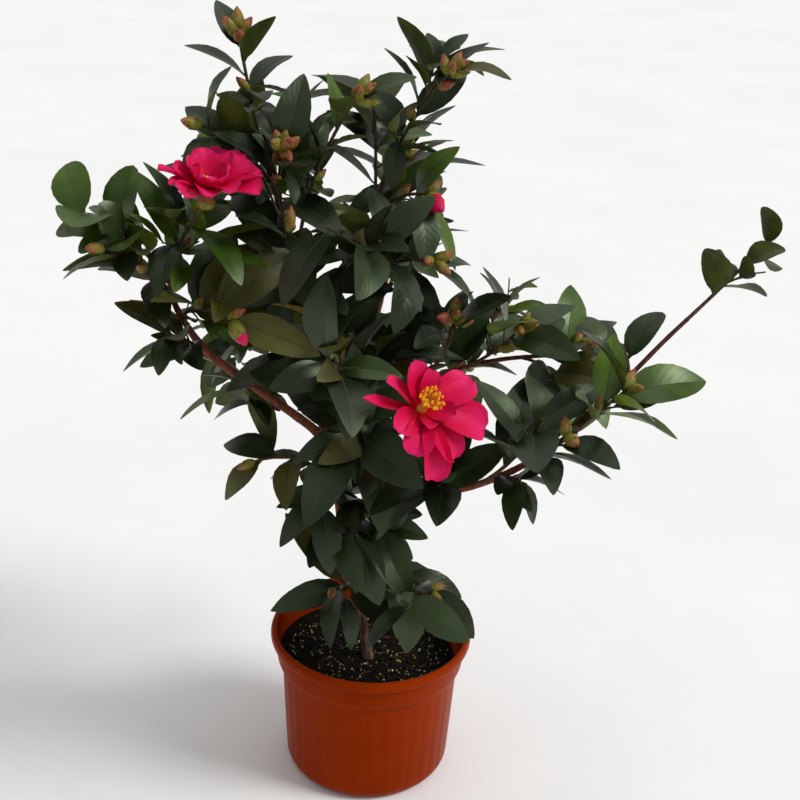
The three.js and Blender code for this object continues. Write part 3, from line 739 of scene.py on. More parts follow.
class NodeBook:
    """A material and the nodes that make its finish."""

    def __init__(self, name: str) -> None:
        """Starts a material with an empty tree.

        Args:
            name: The material's name.
        """
        self.material = bpy.data.materials.new(name)
        self.material.use_nodes = True
        self.tree = self.material.node_tree
        self.tree.nodes.clear()

    def node(self, kind: str, settings: dict | None = None, inputs: dict | None = None) -> Outputs:
        """Adds a node.

        Args:
            kind: The node's type.
            settings: Its properties, set first.
            inputs: For each socket, by name or number, a value or a signal to link.

        Returns:
            The node's outputs.
        """
        made = self.tree.nodes.new(kind)
        for key, value in (settings or {}).items():
            setattr(made, key, value)
        for key, value in (inputs or {}).items():
            if isinstance(value, Signal):
                self.tree.links.new(value.socket, made.inputs[key])
            else:
                made.inputs[key].default_value = value
        return Outputs(self, made)

    def math(self, operation: str, *values: Signal | float) -> Signal:
        """A Math node's result on one or two values."""
        inputs = dict(enumerate(values))
        return self.node("ShaderNodeMath", {"operation": operation}, inputs)[0]

    def blend(self, share: Signal, low: Signal | Tone, high: Signal | Tone) -> Signal:
        """A colour between two others."""
        low, high = (tone if isinstance(tone, Signal) else colour(tone) for tone in (low, high))
        inputs = {0: share, 6: low, 7: high}
        return self.node("ShaderNodeMix", {"data_type": "RGBA"}, inputs)[2]

    def place(self) -> Signal:
        """Where a point lies on its own piece, in metres."""
        return self.node("ShaderNodeTexCoord")["Object"]

    def across_and_along(self) -> tuple[Signal, Signal]:
        """The piece's own two surface coordinates."""
        split = self.node("ShaderNodeSeparateXYZ", None, {0: self.node("ShaderNodeTexCoord")["UV"]})
        return split["X"], split["Y"]

    def height(self) -> Signal:
        """How high a point lies, in metres."""
        return self.node("ShaderNodeSeparateXYZ", None, {0: self.place()})["Z"]

    def noise(
        self, scale: float, detail: float = 3, rough: float = 0.55, stretch: Sequence[float] = (1, 1, 1)
    ) -> Signal:
        """Soft noise from 0 to 1 over the piece.

        Args:
            scale: How many waves a metre holds.
            detail: How many finer layers are added.
            rough: How strong the finer layers are.
            stretch: How much denser the waves lie along each axis.

        Returns:
            The noise.
        """
        place = self.node("ShaderNodeMapping", None, {"Vector": self.place(), "Scale": stretch})["Vector"]
        inputs = {"Vector": place, "Scale": scale, "Detail": detail, "Roughness": rough}
        return self.node("ShaderNodeTexNoise", None, inputs)["Fac"]

    def cells(self, scale: float) -> Signal:
        """The distance to the nearest of some scattered points, 0 at each one."""
        inputs = {"Vector": self.place(), "Scale": scale}
        return self.node("ShaderNodeTexVoronoi", None, inputs)["Distance"]

    def bump(self, height: Signal, depth: float, strength: float = 1.0) -> Signal:
        """A normal tilted by a height.

        Args:
            height: The relief, from 0 to 1.
            depth: How many metres the height's 1 stands for.
            strength: How much of the tilt is kept.

        Returns:
            The normal.
        """
        inputs = {"Height": height, "Distance": depth, "Strength": strength}
        return self.node("ShaderNodeBump", None, inputs)["Normal"]

    def surface(self, **inputs: Signal | float | Colour) -> bpy.types.Material:
        """Ends the finish with its surface shader.

        Args:
            inputs: The shader's sockets, with underscores in place of spaces.

        Returns:
            The finished material.
        """
        named = {key.replace("_", " "): value for key, value in inputs.items()}
        shader = self.node("ShaderNodeBsdfPrincipled", None, named)
        self.node("ShaderNodeOutputMaterial", None, {"Surface": shader["BSDF"]})
        return self.material


def colour(tone: Tone) -> Colour:
    """A colour for a shader, from the 0 to 255 of a screen: the screen's curve undone."""
    shares = (value / 255 for value in tone)
    linear = (s / 12.92 if s <= 0.04045 else ((s + 0.055) / 1.055) ** 2.4 for s in shares)
    return (*linear, 1.0)


@dataclass(frozen=True)
class LeafFinish:
    """A leaf's upper side: waxy, with faint side veins that leave the midrib at a slant."""

    name: str
    dark: Tone
    light: Tone
    roughness: float = 0.27
    veins: int = 9
    slant: float = 0.55
    vein_width: float = 0.1
    patch_scale: float = 26
    patch_range: Pair = (0.3, 0.72)
    fleck_scale: float = 900
    relief: float = 0.0003
    gloss: float = 0.62
    gloss_tone: Tone = (232, 250, 212)

    def make(self) -> bpy.types.Material:
        """Makes the material.

        Returns:
            The material.
        """
        book = NodeBook(self.name)
        across, along = book.across_and_along()
        aside = (across - 0.5).absolute()
        row = (along - self.slant * aside) * self.veins
        crest = (row.fraction() - 0.5).absolute()
        vein = 1 - crest.ramp(0, self.vein_width)
        patch = book.noise(self.patch_scale, 2).ramp(*self.patch_range)
        fleck = book.noise(self.fleck_scale, 4, 0.6)
        base = book.blend(patch, self.dark, self.light)
        base = book.blend(vein * 0.1, base, self.light)
        swell = crest * (1 - vein)
        return book.surface(
            Base_Color=base,
            Roughness=self.roughness + 0.14 * fleck + 0.06 * patch,
            Normal=book.bump(swell * 0.45 + fleck * 0.25, self.relief, 0.5),
            Specular_IOR_Level=self.gloss,
            Specular_Tint=colour(self.gloss_tone),
        )


@dataclass(frozen=True)
class PlainGreen:
    """A matt green finish with soft patches, for leaf undersides, midribs and young stems."""

    name: str
    dark: Tone
    light: Tone
    roughness: float = 0.6
    patch_scale: float = 60
    patch_range: Pair = (0.32, 0.7)
    grain_scale: float = 1200
    relief: float = 0.0002
    gloss: float = 0.25

    def make(self) -> bpy.types.Material:
        """Makes the material.

        Returns:
            The material.
        """
        book = NodeBook(self.name)
        patch = book.noise(self.patch_scale).ramp(*self.patch_range)
        grain = book.noise(self.grain_scale)
        return book.surface(
            Base_Color=book.blend(patch, self.dark, self.light),
            Roughness=self.roughness + 0.12 * grain,
            Normal=book.bump(grain, self.relief, 0.5),
            Specular_IOR_Level=self.gloss,
        )


@dataclass(frozen=True)
class BarkFinish:
    """Thin bark: a colour at the foot that turns to another higher up, fine ridges and pale pores."""

    name: str
    low: Tone
    high: Tone
    crack: Tone
    turns_at: Pair
    ridge_scale: float = 420
    ridge_range: Pair = (0.38, 0.56)
    ridge_stretch: Point = (1, 1, 0.22)
    pore_scale: float = 520
    pore_range: Pair = (0.08, 0.2)
    patch_scale: float = 70
    relief: float = 0.0007
    gloss: float = 0.2

    def make(self) -> bpy.types.Material:
        """Makes the material.

        Returns:
            The material.
        """
        book = NodeBook(self.name)
        ridges = book.noise(self.ridge_scale, 5, 0.65, self.ridge_stretch)
        pores = 1 - book.cells(self.pore_scale).ramp(*self.pore_range)
        patch = book.noise(self.patch_scale)
        rise = (book.height() + 0.03 * (patch - 0.5)).ramp(*self.turns_at)
        base = book.blend(rise, self.low, self.high)
        base = book.blend((1 - ridges.ramp(*self.ridge_range)) * 0.75, base, self.crack)
        base = book.blend(pores * 0.25, base, self.low)
        return book.surface(
            Base_Color=base,
            Roughness=0.62 + 0.25 * ridges,
            Normal=book.bump(ridges + pores * 0.3, self.relief, 0.9),
            Specular_IOR_Level=self.gloss,
        )


@dataclass(frozen=True)
class PetalFinish:
    """A petal: red at its foot, hot pink outwards and paler to its rim, partly as a painted sheen, with fine
    veins that spread to its rim.
    """

    name: str
    throat: Tone
    middle: Tone
    rim: Tone
    foot_range: Pair = (0.1, 0.5)
    rim_and_sheen_range: Pair = (0.55, 1.0)
    veins: float = 44
    vein_range: Pair = (0.2, 1.0)
    patch_scale: float = 90
    grain_scale: float = 1400
    relief: float = 0.0002
    gloss: float = 0.4
    gloss_tone: Tone = (255, 120, 170)

    def make(self) -> bpy.types.Material:
        """Makes the material.

        Returns:
            The material.
        """
        book = NodeBook(self.name)
        across, along = book.across_and_along()
        patch = book.noise(self.patch_scale) - 0.5
        reach = along + 0.16 * patch
        base = book.blend(reach.ramp(*self.foot_range), self.throat, self.middle)
        # Paler towards the tip: the petal's own paler rim and a painted sheen.
        base = book.blend(reach.ramp(*self.rim_and_sheen_range) * 0.7, base, self.rim)
        veins = (across * self.veins + patch * 5).sine().ramp(*self.vein_range)
        base = book.blend(veins * 0.07, base, self.throat)
        grain = book.noise(self.grain_scale, 2)
        return book.surface(
            Base_Color=base,
            Roughness=0.42 + 0.1 * grain,
            Normal=book.bump(veins * 0.4 + grain * 0.4, self.relief, 0.5),
            Specular_IOR_Level=self.gloss,
            Specular_Tint=colour(self.gloss_tone),
        )


@dataclass(frozen=True)
class PotFinish:
    """Moulded terracotta-coloured plastic: satin, with soft stains, scuffs and tinted reflections."""

    name: str
    body: Tone
    deep: Tone
    scuff: Tone
    cloud_range: Pair = (0.3, 0.75)
    drip_stretch: Point = (1, 1, 0.12)
    drip_range: Pair = (0.55, 0.8)
    scratch_stretch: Point = (1, 1, 5)
    scratch_range: Pair = (0.66, 0.74)
    relief: float = 0.00014
    gloss: float = 0.04
    gloss_tone: Tone = (255, 132, 44)

    def make(self) -> bpy.types.Material:
        """Makes the material.

        Returns:
            The material.
        """
        book = NodeBook(self.name)
        cloud = book.noise(16, 4).ramp(*self.cloud_range)
        grain = book.noise(1500)
        drips = book.noise(120, 4, 0.6, self.drip_stretch).ramp(*self.drip_range)
        scratches = book.noise(300, 6, 0.75, self.scratch_stretch).ramp(*self.scratch_range)
        base = book.blend(cloud * 0.5, self.body, self.deep)
        base = book.blend(drips * 0.14, base, self.deep)
        base = book.blend(scratches * 0.2, base, self.scuff)
        return book.surface(
            Base_Color=base,
            Roughness=0.27 + 0.1 * grain + 0.14 * drips + 0.2 * scratches,
            Normal=book.bump(grain + scratches * 0.4, self.relief, 0.5),
            Specular_IOR_Level=self.gloss,
            Specular_Tint=colour(self.gloss_tone),
        )


@dataclass(frozen=True)
class CrumbFinish:
    """A rough crumb, grain or anther: two colours in patches and a coarse relief."""

    name: str
    dark: Tone
    light: Tone
    scale: float = 300
    roughness: float = 0.9
    relief: float = 0.0008
    patch_range: Pair = (0.36, 0.66)
    gloss: float = 0.15

    def make(self) -> bpy.types.Material:
        """Makes the material.

        Returns:
            The material.
        """
        book = NodeBook(self.name)
        coarse = book.noise(self.scale, 5, 0.65)
        fine = book.noise(self.scale * 5)
        return book.surface(
            Base_Color=book.blend(coarse.ramp(*self.patch_range), self.dark, self.light),
            Roughness=self.roughness - 0.1 * fine,
            Normal=book.bump(coarse + fine * 0.4, self.relief, 0.9),
            Specular_IOR_Level=self.gloss,
        )


POT_PLASTIC = PotFinish("pot plastic", (144, 46, 4), (116, 34, 2), (172, 88, 46))
SOIL_MIX = CrumbFinish("potting mix", (5, 4, 2), (17, 13, 8), 260)
PEAT = CrumbFinish("peat crumbs", (10, 8, 5), (42, 31, 20), 420)
PERLITE = CrumbFinish("perlite", (150, 148, 130), (206, 202, 186), 500)
GRANULE = CrumbFinish("feed granules", (128, 134, 42), (184, 182, 92), 500, 0.6)
BARK = BarkFinish("bark", (136, 112, 88), (122, 66, 44), (60, 32, 20), (0.13, 0.2))
SHOOT = BarkFinish("shoot bark", (116, 66, 44), (78, 48, 40), (40, 24, 22), (0.3, 0.42))
TWIG = BarkFinish("twig bark", (96, 64, 44), (78, 66, 48), (40, 32, 26), (0.3, 0.5), 700)
MIDRIB = PlainGreen("leaf midrib", (38, 54, 26), (60, 78, 38), 0.5)
LEAVES = {
    Tint.DEEP: LeafFinish("deep green leaf", (14, 23, 11), (27, 38, 19)),
    Tint.GREEN: LeafFinish("green leaf", (23, 37, 13), (42, 59, 22)),
    # The fresh tint is young green and partly painted light: lighter, as if lit through from behind.
    Tint.FRESH: LeafFinish("fresh green leaf", (43, 66, 11), (76, 101, 20)),
    Tint.OLIVE: LeafFinish("olive leaf", (50, 46, 5), (80, 74, 9), 0.36),
}
UNDERSIDES = {
    Tint.DEEP: PlainGreen("deep green underside", (52, 60, 18), (76, 84, 28), 0.45),
    Tint.GREEN: PlainGreen("green underside", (58, 70, 18), (84, 98, 28), 0.45),
    # The fresh underside is partly painted light shining through the leaf.
    Tint.FRESH: PlainGreen("fresh green underside", (84, 104, 16), (116, 136, 32), 0.45),
    Tint.OLIVE: PlainGreen("olive underside", (78, 62, 14), (104, 84, 22), 0.45),
}
BUD_GREEN = PlainGreen("bud scale green", (98, 102, 30), (134, 132, 52), 0.42, 300)
BUD_TAN = PlainGreen("bud scale tan", (126, 98, 44), (154, 118, 60), 0.42, 300)
BUD_ROSE = PlainGreen("bud scale rose", (122, 60, 40), (156, 84, 58), 0.42, 300)
# The rim tones are partly painted sheen.
PETAL = PetalFinish("petal", (176, 2, 14), (204, 8, 64), (226, 42, 112))
RED_PETAL = PetalFinish("opening petal", (150, 4, 24), (190, 12, 56), (210, 50, 104))
BUD_FINISHES = (BUD_GREEN, BUD_TAN, BUD_ROSE, RED_PETAL)
FILAMENT = PlainGreen("filament", (214, 150, 60), (236, 190, 90), 0.5, 300)
ANTHER = CrumbFinish("anther", (236, 150, 10), (252, 196, 40), 900, 0.7, 0.0003)
FLOOR = CrumbFinish("pale floor", (244, 244, 243), (248, 248, 247), 3, 0.9, 0.0001)
FIBRE = CrumbFinish("bark fibre", (70, 52, 34), (118, 96, 66), 600)
GREEN_TWIG = PlainGreen("green twig", (70, 72, 34), (92, 84, 48), 0.6, 200)


class Finish(Protocol):
    """Anything that makes a material."""

    def make(self) -> bpy.types.Material:
        """Makes the material."""


@cache
def material(finish: Finish) -> bpy.types.Material:
    """The material of a finish, which is made once."""
    return finish.make()


@dataclass
class Patch:
    """A closed surface: points, faces by corner with -1 where a face has three, slots, coordinates."""

    points: Vec
    faces: Vec
    slots: Vec
    coordinates: Vec


def grid_faces(rows: int, columns: int) -> Vec:
    """Quads between the rings of a skin: each joins two neighbours on a ring and the two beyond them.

    Args:
        rows: How many rings.
        columns: How many points a ring has.

    Returns:
        Four point numbers for each quad.
    """
    row, column = np.meshgrid(np.arange(rows - 1), np.arange(columns), indexing="ij")
    start = row * columns + column
    after = row * columns + (column + 1) % columns
    quads = np.stack((start, after, after + columns, start + columns), axis=-1)
    return quads.reshape(-1, 4)


def skin(rings: Vec, start: Vec, end: Vec, slots: Vec, coordinates: Vec | None = None) -> Patch:
    """A closed skin over rings of points, with a point that closes each end.

    Args:
        rings: Rows of points; round a row they turn to the right of the way to the next row.
        start: The point that closes the first ring.
        end: The point that closes the last ring.
        slots: The slot of each face, by row and column; the caps have a row each.
        coordinates: Surface coordinates by row and column, or nothing for the shares of both.

    Returns:
        The patch, its faces pointing outwards.
    """
    rows, columns = rings.shape[:2]
    if coordinates is None:
        spots = np.meshgrid(np.linspace(0, 1, rows), np.arange(columns) / columns, indexing="ij")
        coordinates = np.stack((spots[1], spots[0]), axis=-1)
    here = np.arange(columns)
    after = (here + 1) % columns
    first, last = rows * columns, rows * columns + 1
    none = np.full(columns, -1)
    foot = np.stack((np.full(columns, first), after, here, none), axis=-1)
    top = (rows - 1) * columns
    head = np.stack((np.full(columns, last), top + here, top + after, none), axis=-1)
    ends = np.array(((0.5, 0.0), (0.5, 1.0)))
    return Patch(
        np.concatenate((rings.reshape(-1, 3), np.stack((start, end)))),
        np.concatenate((foot, grid_faces(rows, columns), head)),
        slots.reshape(-1),
        np.concatenate((coordinates.reshape(-1, 2), ends)),
    )


def square_ways(ahead: Vec) -> tuple[Vec, Vec]:
    """Two ways square to a path's way at each point, from the axis that the path least follows.

    Args:
        ahead: The path's ways, a row for each point.

    Returns:
        The way to the side and the way that completes a right-handed set.
    """
    mean = np.abs(ahead.sum(axis=0))
    axis = np.eye(3)[int(np.argmin(mean))]
    side = unit(np.cross(ahead, axis))
    return side, np.cross(ahead, side)


def tube(path: Vec, radii: Vec, sides: int, slot: int = 0) -> Patch:
    """A round skin along a path.

    Each point is the path's point plus the radius times the turn's cosine to one side, plus the radius
    times its sine to the other.

    Args:
        path: The points of the centre line.
        radii: A radius for each point, or for each point and side.
        sides: How many points a ring has.
        slot: The slot of every face.

    Returns:
        The closed tube.
    """
    ahead = unit(np.gradient(path, axis=0))
    side, up = square_ways(ahead)
    turn = np.arange(sides) * math.tau / sides
    spread = np.broadcast_to(np.asarray(radii, float).reshape(len(path), -1), (len(path), sides))
    round_way = np.cos(turn)[None, :, None] * side[:, None] + np.sin(turn)[None, :, None] * up[:, None]
    rings = path[:, None] + spread[..., None] * round_way
    return skin(rings, path[0], path[-1], np.full((len(path) + 1, sides), slot))


def revolved(profile: Vec, sides: int, relief: Callable[[Vec, Vec], Vec] | None = None) -> Patch:
    """A profile turned about the upright axis.

    Each ring has the radius and height of its point of the profile, with the relief added to the radius.

    Args:
        profile: Rows of radius and height, from the axis underneath to the axis on top, outside first.
        sides: How many points a ring has.
        relief: What is added to the radius, from the profile's row numbers and the turns.

    Returns:
        The closed body.
    """
    turn = np.arange(sides) * math.tau / sides
    inner = profile[1:-1]
    radius = np.repeat(inner[:, :1], sides, axis=1)
    if relief:
        radius = radius + relief(np.arange(len(inner))[:, None], turn[None, :])
    height = np.repeat(inner[:, 1:], sides, axis=1)
    rings = np.stack((radius * np.cos(turn), radius * np.sin(turn), height), axis=-1)
    start, end = ((0.0, 0.0, profile[end, 1]) for end in (0, -1))
    return skin(rings, np.array(start), np.array(end), np.zeros((len(inner) + 1, sides), int))


def rounded(corners: Sequence[Sequence[float]], cut: float, steps: int = 5) -> Vec:
    """A line through corners with each one rounded: a curve that is bent by the corner.

    Args:
        corners: The line's corners.
        cut: How far before and after a corner its curve starts and ends.
        steps: How many points a curve has.

    Returns:
        The line's points.
    """
    line = np.array(corners, float)
    points = [line[:1]]
    for before, corner, after in zip(line, line[1:], line[2:]):
        back, on = before - corner, after - corner
        far_back, far_on = float(np.hypot(*back)), float(np.hypot(*on))
        start = corner + back / far_back * min(cut, 0.45 * far_back)
        end = corner + on / far_on * min(cut, 0.45 * far_on)
        points.append(Curve(start, corner, end).at(np.linspace(0, 1, steps)))
    points.append(line[-1:])
    return np.concatenate(points)


@dataclass
class Sheaf:
    """Patches of one kind, to be joined into one mesh."""

    SHARP: ClassVar[float] = math.radians(50)

    patches: list[Patch]

    def mesh(self, name: str) -> bpy.types.Mesh:
        """Joins what is gathered into a mesh in metres, with its faces smooth up to sharp edges.

        Args:
            name: The mesh's name.

        Returns:
            The mesh, with its slots and surface coordinates.
        """
        points = np.concatenate([patch.points for patch in self.patches]) * MM
        counts = [len(patch.points) for patch in self.patches]
        starts = np.cumsum([0, *counts[:-1]])
        shifted = [np.where(p.faces < 0, -1, p.faces + start) for p, start in zip(self.patches, starts)]
        faces = np.concatenate(shifted)
        coordinates = np.concatenate([patch.coordinates for patch in self.patches])
        corners = faces[faces >= 0]
        sides = (faces >= 0).sum(axis=1)
        mesh = bpy.data.meshes.new(name)
        mesh.vertices.add(len(points))
        mesh.vertices.foreach_set("co", points.ravel())
        mesh.loops.add(len(corners))
        mesh.polygons.add(len(faces))
        mesh.polygons.foreach_set("loop_start", np.cumsum(sides) - sides)
        mesh.polygons.foreach_set("vertices", corners)
        mesh.polygons.foreach_set("use_smooth", np.ones(len(faces), bool))
        mesh.polygons.foreach_set("material_index", np.concatenate([p.slots for p in self.patches]))
        layer = mesh.uv_layers.new(name="Surface")
        layer.data.foreach_set("uv", coordinates[corners].ravel())
        mesh.update(calc_edges=True)
        mesh.validate()
        mesh.set_sharp_from_angle(angle=self.SHARP)
        return mesh

    def build(self, name: str, slot: Slot, nodes: Iterable[str], finishes: Sequence[Finish]) -> None:
        """Makes a piece that stands for some of the model's nodes.

        Args:
            name: The piece's name.
            slot: The record's slot; it is not used.
            nodes: The nodes that it replaces.
            finishes: The finish of each of its slots.
        """
        mesh = self.mesh(name)
        for finish in finishes:
            mesh.materials.append(material(finish))
        piece = bpy.data.objects.new(name, mesh)
        bpy.context.scene.collection.objects.link(piece)
        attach(piece, BODY)
        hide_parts(*nodes)
        LOG.info("%s: %d patches, %d faces", name, len(self.patches), len(mesh.polygons))


class LeafShape:
    """A camellia leaf as a thin closed skin: a short stalk, an oval blade and a drawn-out tip.

    Along the leaf each ring has six points on top, from margin to margin, and one beneath. The blade's
    half width is a power of the share past the stalk times a power of the share left to the tip; that
    power is lower for a round leaf and so blunts its tip. A point's place is the foot, plus the length
    times its share along, plus its width to the side, plus its height. The height is an arch less the
    curl, which grows faster than the share and so bends the tip down; it rises from the midrib to the
    margins as a fold, and waves at the margins.
    """

    SHARES = np.array((0.03, 0.1, 0.15, 0.24, 0.37, 0.52, 0.67, 0.8, 0.9, 0.965))
    BLADE_START = 0.09
    SWELL, TAPER, BLUNT = 0.64, 0.84, 0.55
    ROUND_FROM = 0.28
    NARROW = 0.94
    ARCH = 0.04
    CURL_POWER = 2.4
    MIDDLE = 0.55
    RIB, RIB_RUNS_OUT, RIB_LIMIT = 0.36, 1.2, 0.4
    STALK, STALK_LOSS = 0.6, 0.6
    SUNK = 0.5
    FOLD_EASE = 0.4
    WAVE_POWER, WAVE_PACE = 1.2, 6.5
    BENEATH = 6
    DEPTH, STALK_DEPTH, BLADE_DEPTH = 0.35, 0.65, 0.4
    UPPER, PALE, UNDER = range(3)
    ROW = np.array((UPPER, UPPER, PALE, UPPER, UPPER, UNDER, UNDER))

    def widths(self, leaf: Leaf) -> Vec:
        """The blade's half width at each ring, as a share of its widest.

        Args:
            leaf: The leaf, whose breadth sets how its tip tapers.

        Returns:
            A row for each ring.
        """
        taper = self.BLUNT if leaf.half_width > self.ROUND_FROM * leaf.length else self.TAPER
        share = np.clip((self.SHARES - self.BLADE_START) / (1 - self.BLADE_START), 0, 1)
        widest = self.SWELL / (self.SWELL + taper)
        top = widest**self.SWELL * (1 - widest) ** taper
        return (share**self.SWELL * (1 - share) ** taper / top)[:, None]

    def patch(self, leaf: Leaf, fold: float, wave: float, phase: float, twist: float) -> Patch:
        """Makes one leaf.

        Args:
            leaf: Where it stands and its sizes.
            fold: How much the margins rise for each millimetre of width.
            wave: How high the margins wave, in millimetres.
            phase: Where the wave starts, in radians.
            twist: How far the blade turns about its midrib by its tip, in radians.

        Returns:
            The leaf, with slots for its upper side, its midrib and its underside.
        """
        s, widths = self.SHARES[:, None], self.widths(leaf)
        half = widths * self.NARROW * leaf.half_width + self.STALK * (1 - self.STALK_LOSS * s)
        rib = np.minimum(self.RIB * (self.RIB_RUNS_OUT - s), self.RIB_LIMIT * half)
        inner = self.MIDDLE * half
        sideways = np.concatenate((-half, -inner, -rib, rib, inner, half, 0 * s), axis=1)
        share = np.abs(sideways) / half
        rise = fold * np.abs(sideways) * (1 - self.FOLD_EASE * share) * widths
        turn = self.WAVE_PACE * s + phase + np.sign(sideways)
        ripple = wave * share**self.WAVE_POWER * np.sin(math.pi * s) * np.sin(turn)
        arch = self.ARCH * leaf.length * np.sin(math.pi * s)
        height = rise + ripple + arch - leaf.curl * s**self.CURL_POWER
        depth = self.DEPTH + self.STALK_DEPTH * (1 - s) + self.BLADE_DEPTH * widths
        height[:, self.BENEATH] -= depth[:, 0]
        side = np.cross(leaf.direction, leaf.face)
        lean = (twist * s)[..., None]
        across = np.cos(lean) * side + np.sin(lean) * leaf.face
        rings = (
            leaf.foot
            + s[..., None] * leaf.length * leaf.direction
            + sideways[..., None] * across
            + height[..., None] * leaf.face
        )
        slots = np.tile(self.ROW, (len(self.SHARES) + 1, 1))
        slots[:2] = self.PALE
        width_share = 0.5 + 0.5 * sideways / half
        coordinates = np.stack((width_share, np.broadcast_to(s, width_share.shape)), axis=-1)
        foot = leaf.foot - leaf.direction * self.SUNK
        return skin(rings, foot, leaf.tip(), slots, coordinates)


@dataclass(frozen=True)
class FineRule:
    """How the finest twigs go on from a spray's stem and side twigs."""

    start: float = 0.25
    span: float = 0.65
    open: Pair = (38, 30)
    lift: float = 0.3
    reach: Pair = (14, 14)
    leaves: int = 3
    leaf_share: Pair = (0.6, 0.25)
    room: float = 5.0


class Crowd:
    """Sample points of the leaves that stand, to keep new ones out of them."""

    SPOTS = ((0.25, 0.0), (0.5, -0.7), (0.5, 0.7), (0.5, 0.0), (0.75, 0.0), (1.0, 0.0))

    def __init__(self) -> None:
        """Starts with no leaves."""
        self.points = np.zeros((0, 3))

    def spots(self, leaf: Leaf) -> Vec:
        """Points of a blade on its midrib and near its margins, lowered by its curl.

        Args:
            leaf: The leaf.

        Returns:
            A row for each point.
        """
        side = np.cross(leaf.direction, leaf.face)
        rows = [
            leaf.foot
            + leaf.direction * leaf.length * share
            + side * leaf.half_width * across
            - leaf.face * leaf.curl * share**2
            for share, across in self.SPOTS
        ]
        return np.array(rows)

    def has_room(self, leaf: Leaf, room: float) -> bool:
        """Whether every sample point of a leaf is at least some way from all that stand."""
        gaps = np.linalg.norm(self.spots(leaf)[:, None] - self.points[None], axis=-1)
        return float(gaps.min(initial=math.inf)) > room

    def take(self, leaf: Leaf) -> None:
        """Adds a leaf to those that stand."""
        self.points = np.concatenate((self.points, self.spots(leaf)))


class Foliage:
    """The leaves of every spray: those of the model's rule, and smaller ones on the finest twigs."""

    FOLD = (0.15, 0.5)
    WAVE = (0.2, 1.0)
    TWIST = 0.28

    def __init__(self, growths: list[Growth], packed: Packed, grower: Grower) -> None:
        """Finds the leaves that the model kept, and grows the finest twigs between them.

        Args:
            growths: The sprays as the rule grows them.
            packed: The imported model's corners.
            grower: The rule.
        """
        self.grower = grower
        self.rule = FineRule()
        self.crowd = Crowd()
        self.leaves: list[tuple[Leaf, Spray]] = []
        self.fine_twigs: list[Curve] = []
        for growth in growths:
            kept = packed.kept_leaves(growth)
            shown = [leaf for index, leaf in enumerate(kept) if index not in growth.spray.bare]
            self.take(growth.spray, shown)
        self.main_count = len(self.leaves)
        for growth in growths:
            self.grow_finer(growth)

    def take(self, spray: Spray, leaves: list[Leaf]) -> None:
        """Keeps some leaves of a spray."""
        for leaf in leaves:
            self.leaves.append((leaf, spray))
            self.crowd.take(leaf)

    def inside(self, name: str, point: Vec) -> bool:
        """Whether a point lies in a node's box."""
        low, high = (np.array(corner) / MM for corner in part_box(name))
        return bool(np.all(point > low) and np.all(point < high))

    def grow_finer(self, growth: Growth) -> None:
        """Carries a spray on to its finest twigs, each with the small leaves that find room.

        Args:
            growth: The spray.
        """
        rule, spray = self.rule, growth.spray
        draws = Draws(spray.seed * 31 + spray.fine_seed)
        small = replace(spray, leaf_length=spray.leaf_length * sized(rule.leaf_share, draws.next()))
        carriers = [growth.stem, *growth.twigs]
        for index in range(spray.fine_twigs):
            carrier = carriers[index % len(carriers)]
            share = rule.start + rule.span * draws.next()
            along = carrier.tangent(share)
            direction = tilted(along, outward_at(along, 360 * draws.next()), sized(rule.open, draws.next()))
            direction = unit(direction + UP * rule.lift)
            foot = carrier.at(share)
            twig = stem_curve(foot, along, foot + direction * sized(rule.reach, draws.next()))
            turn = 360 * draws.next()
            leaves = self.grower.leaves_on(twig, TWIG_STEPS, rule.leaves, small, turn, draws)
            free = [leaf for leaf in leaves if self.fits(spray.name, leaf)]
            if free:
                self.fine_twigs.append(twig)
                self.take(spray, free)

    def fits(self, name: str, leaf: Leaf) -> bool:
        """Whether a small leaf stays in its spray's box and clear of the leaves that stand."""
        return self.inside(name, leaf.tip()) and self.crowd.has_room(leaf, self.rule.room)

    def build(self) -> None:
        """Builds the leaves, a piece for each tint."""
        shape = LeafShape()
        patches = {tint: [] for tint in Tint}
        chance = np.random.default_rng(2028)
        for leaf, spray in self.leaves:
            tint = list(Tint)[int(chance.choice(len(Tint), p=spray.mix.value))]
            fold = chance.uniform(*self.FOLD)
            wave = chance.uniform(*self.WAVE)
            phase = chance.uniform(0, math.tau)
            twist = chance.normal(0, self.TWIST)
            patches[tint].append(shape.patch(leaf, fold, wave, phase, twist))
        for tint in Tint:
            finishes = (LEAVES[tint], MIDRIB, UNDERSIDES[tint])
            Sheaf(patches[tint]).build(f"leaves_{tint.value}", Slot.LEAF, SPRAY_NAMES, finishes)
        LOG.info("leaves: %d of the rule, %d small", self.main_count, len(self.leaves) - self.main_count)


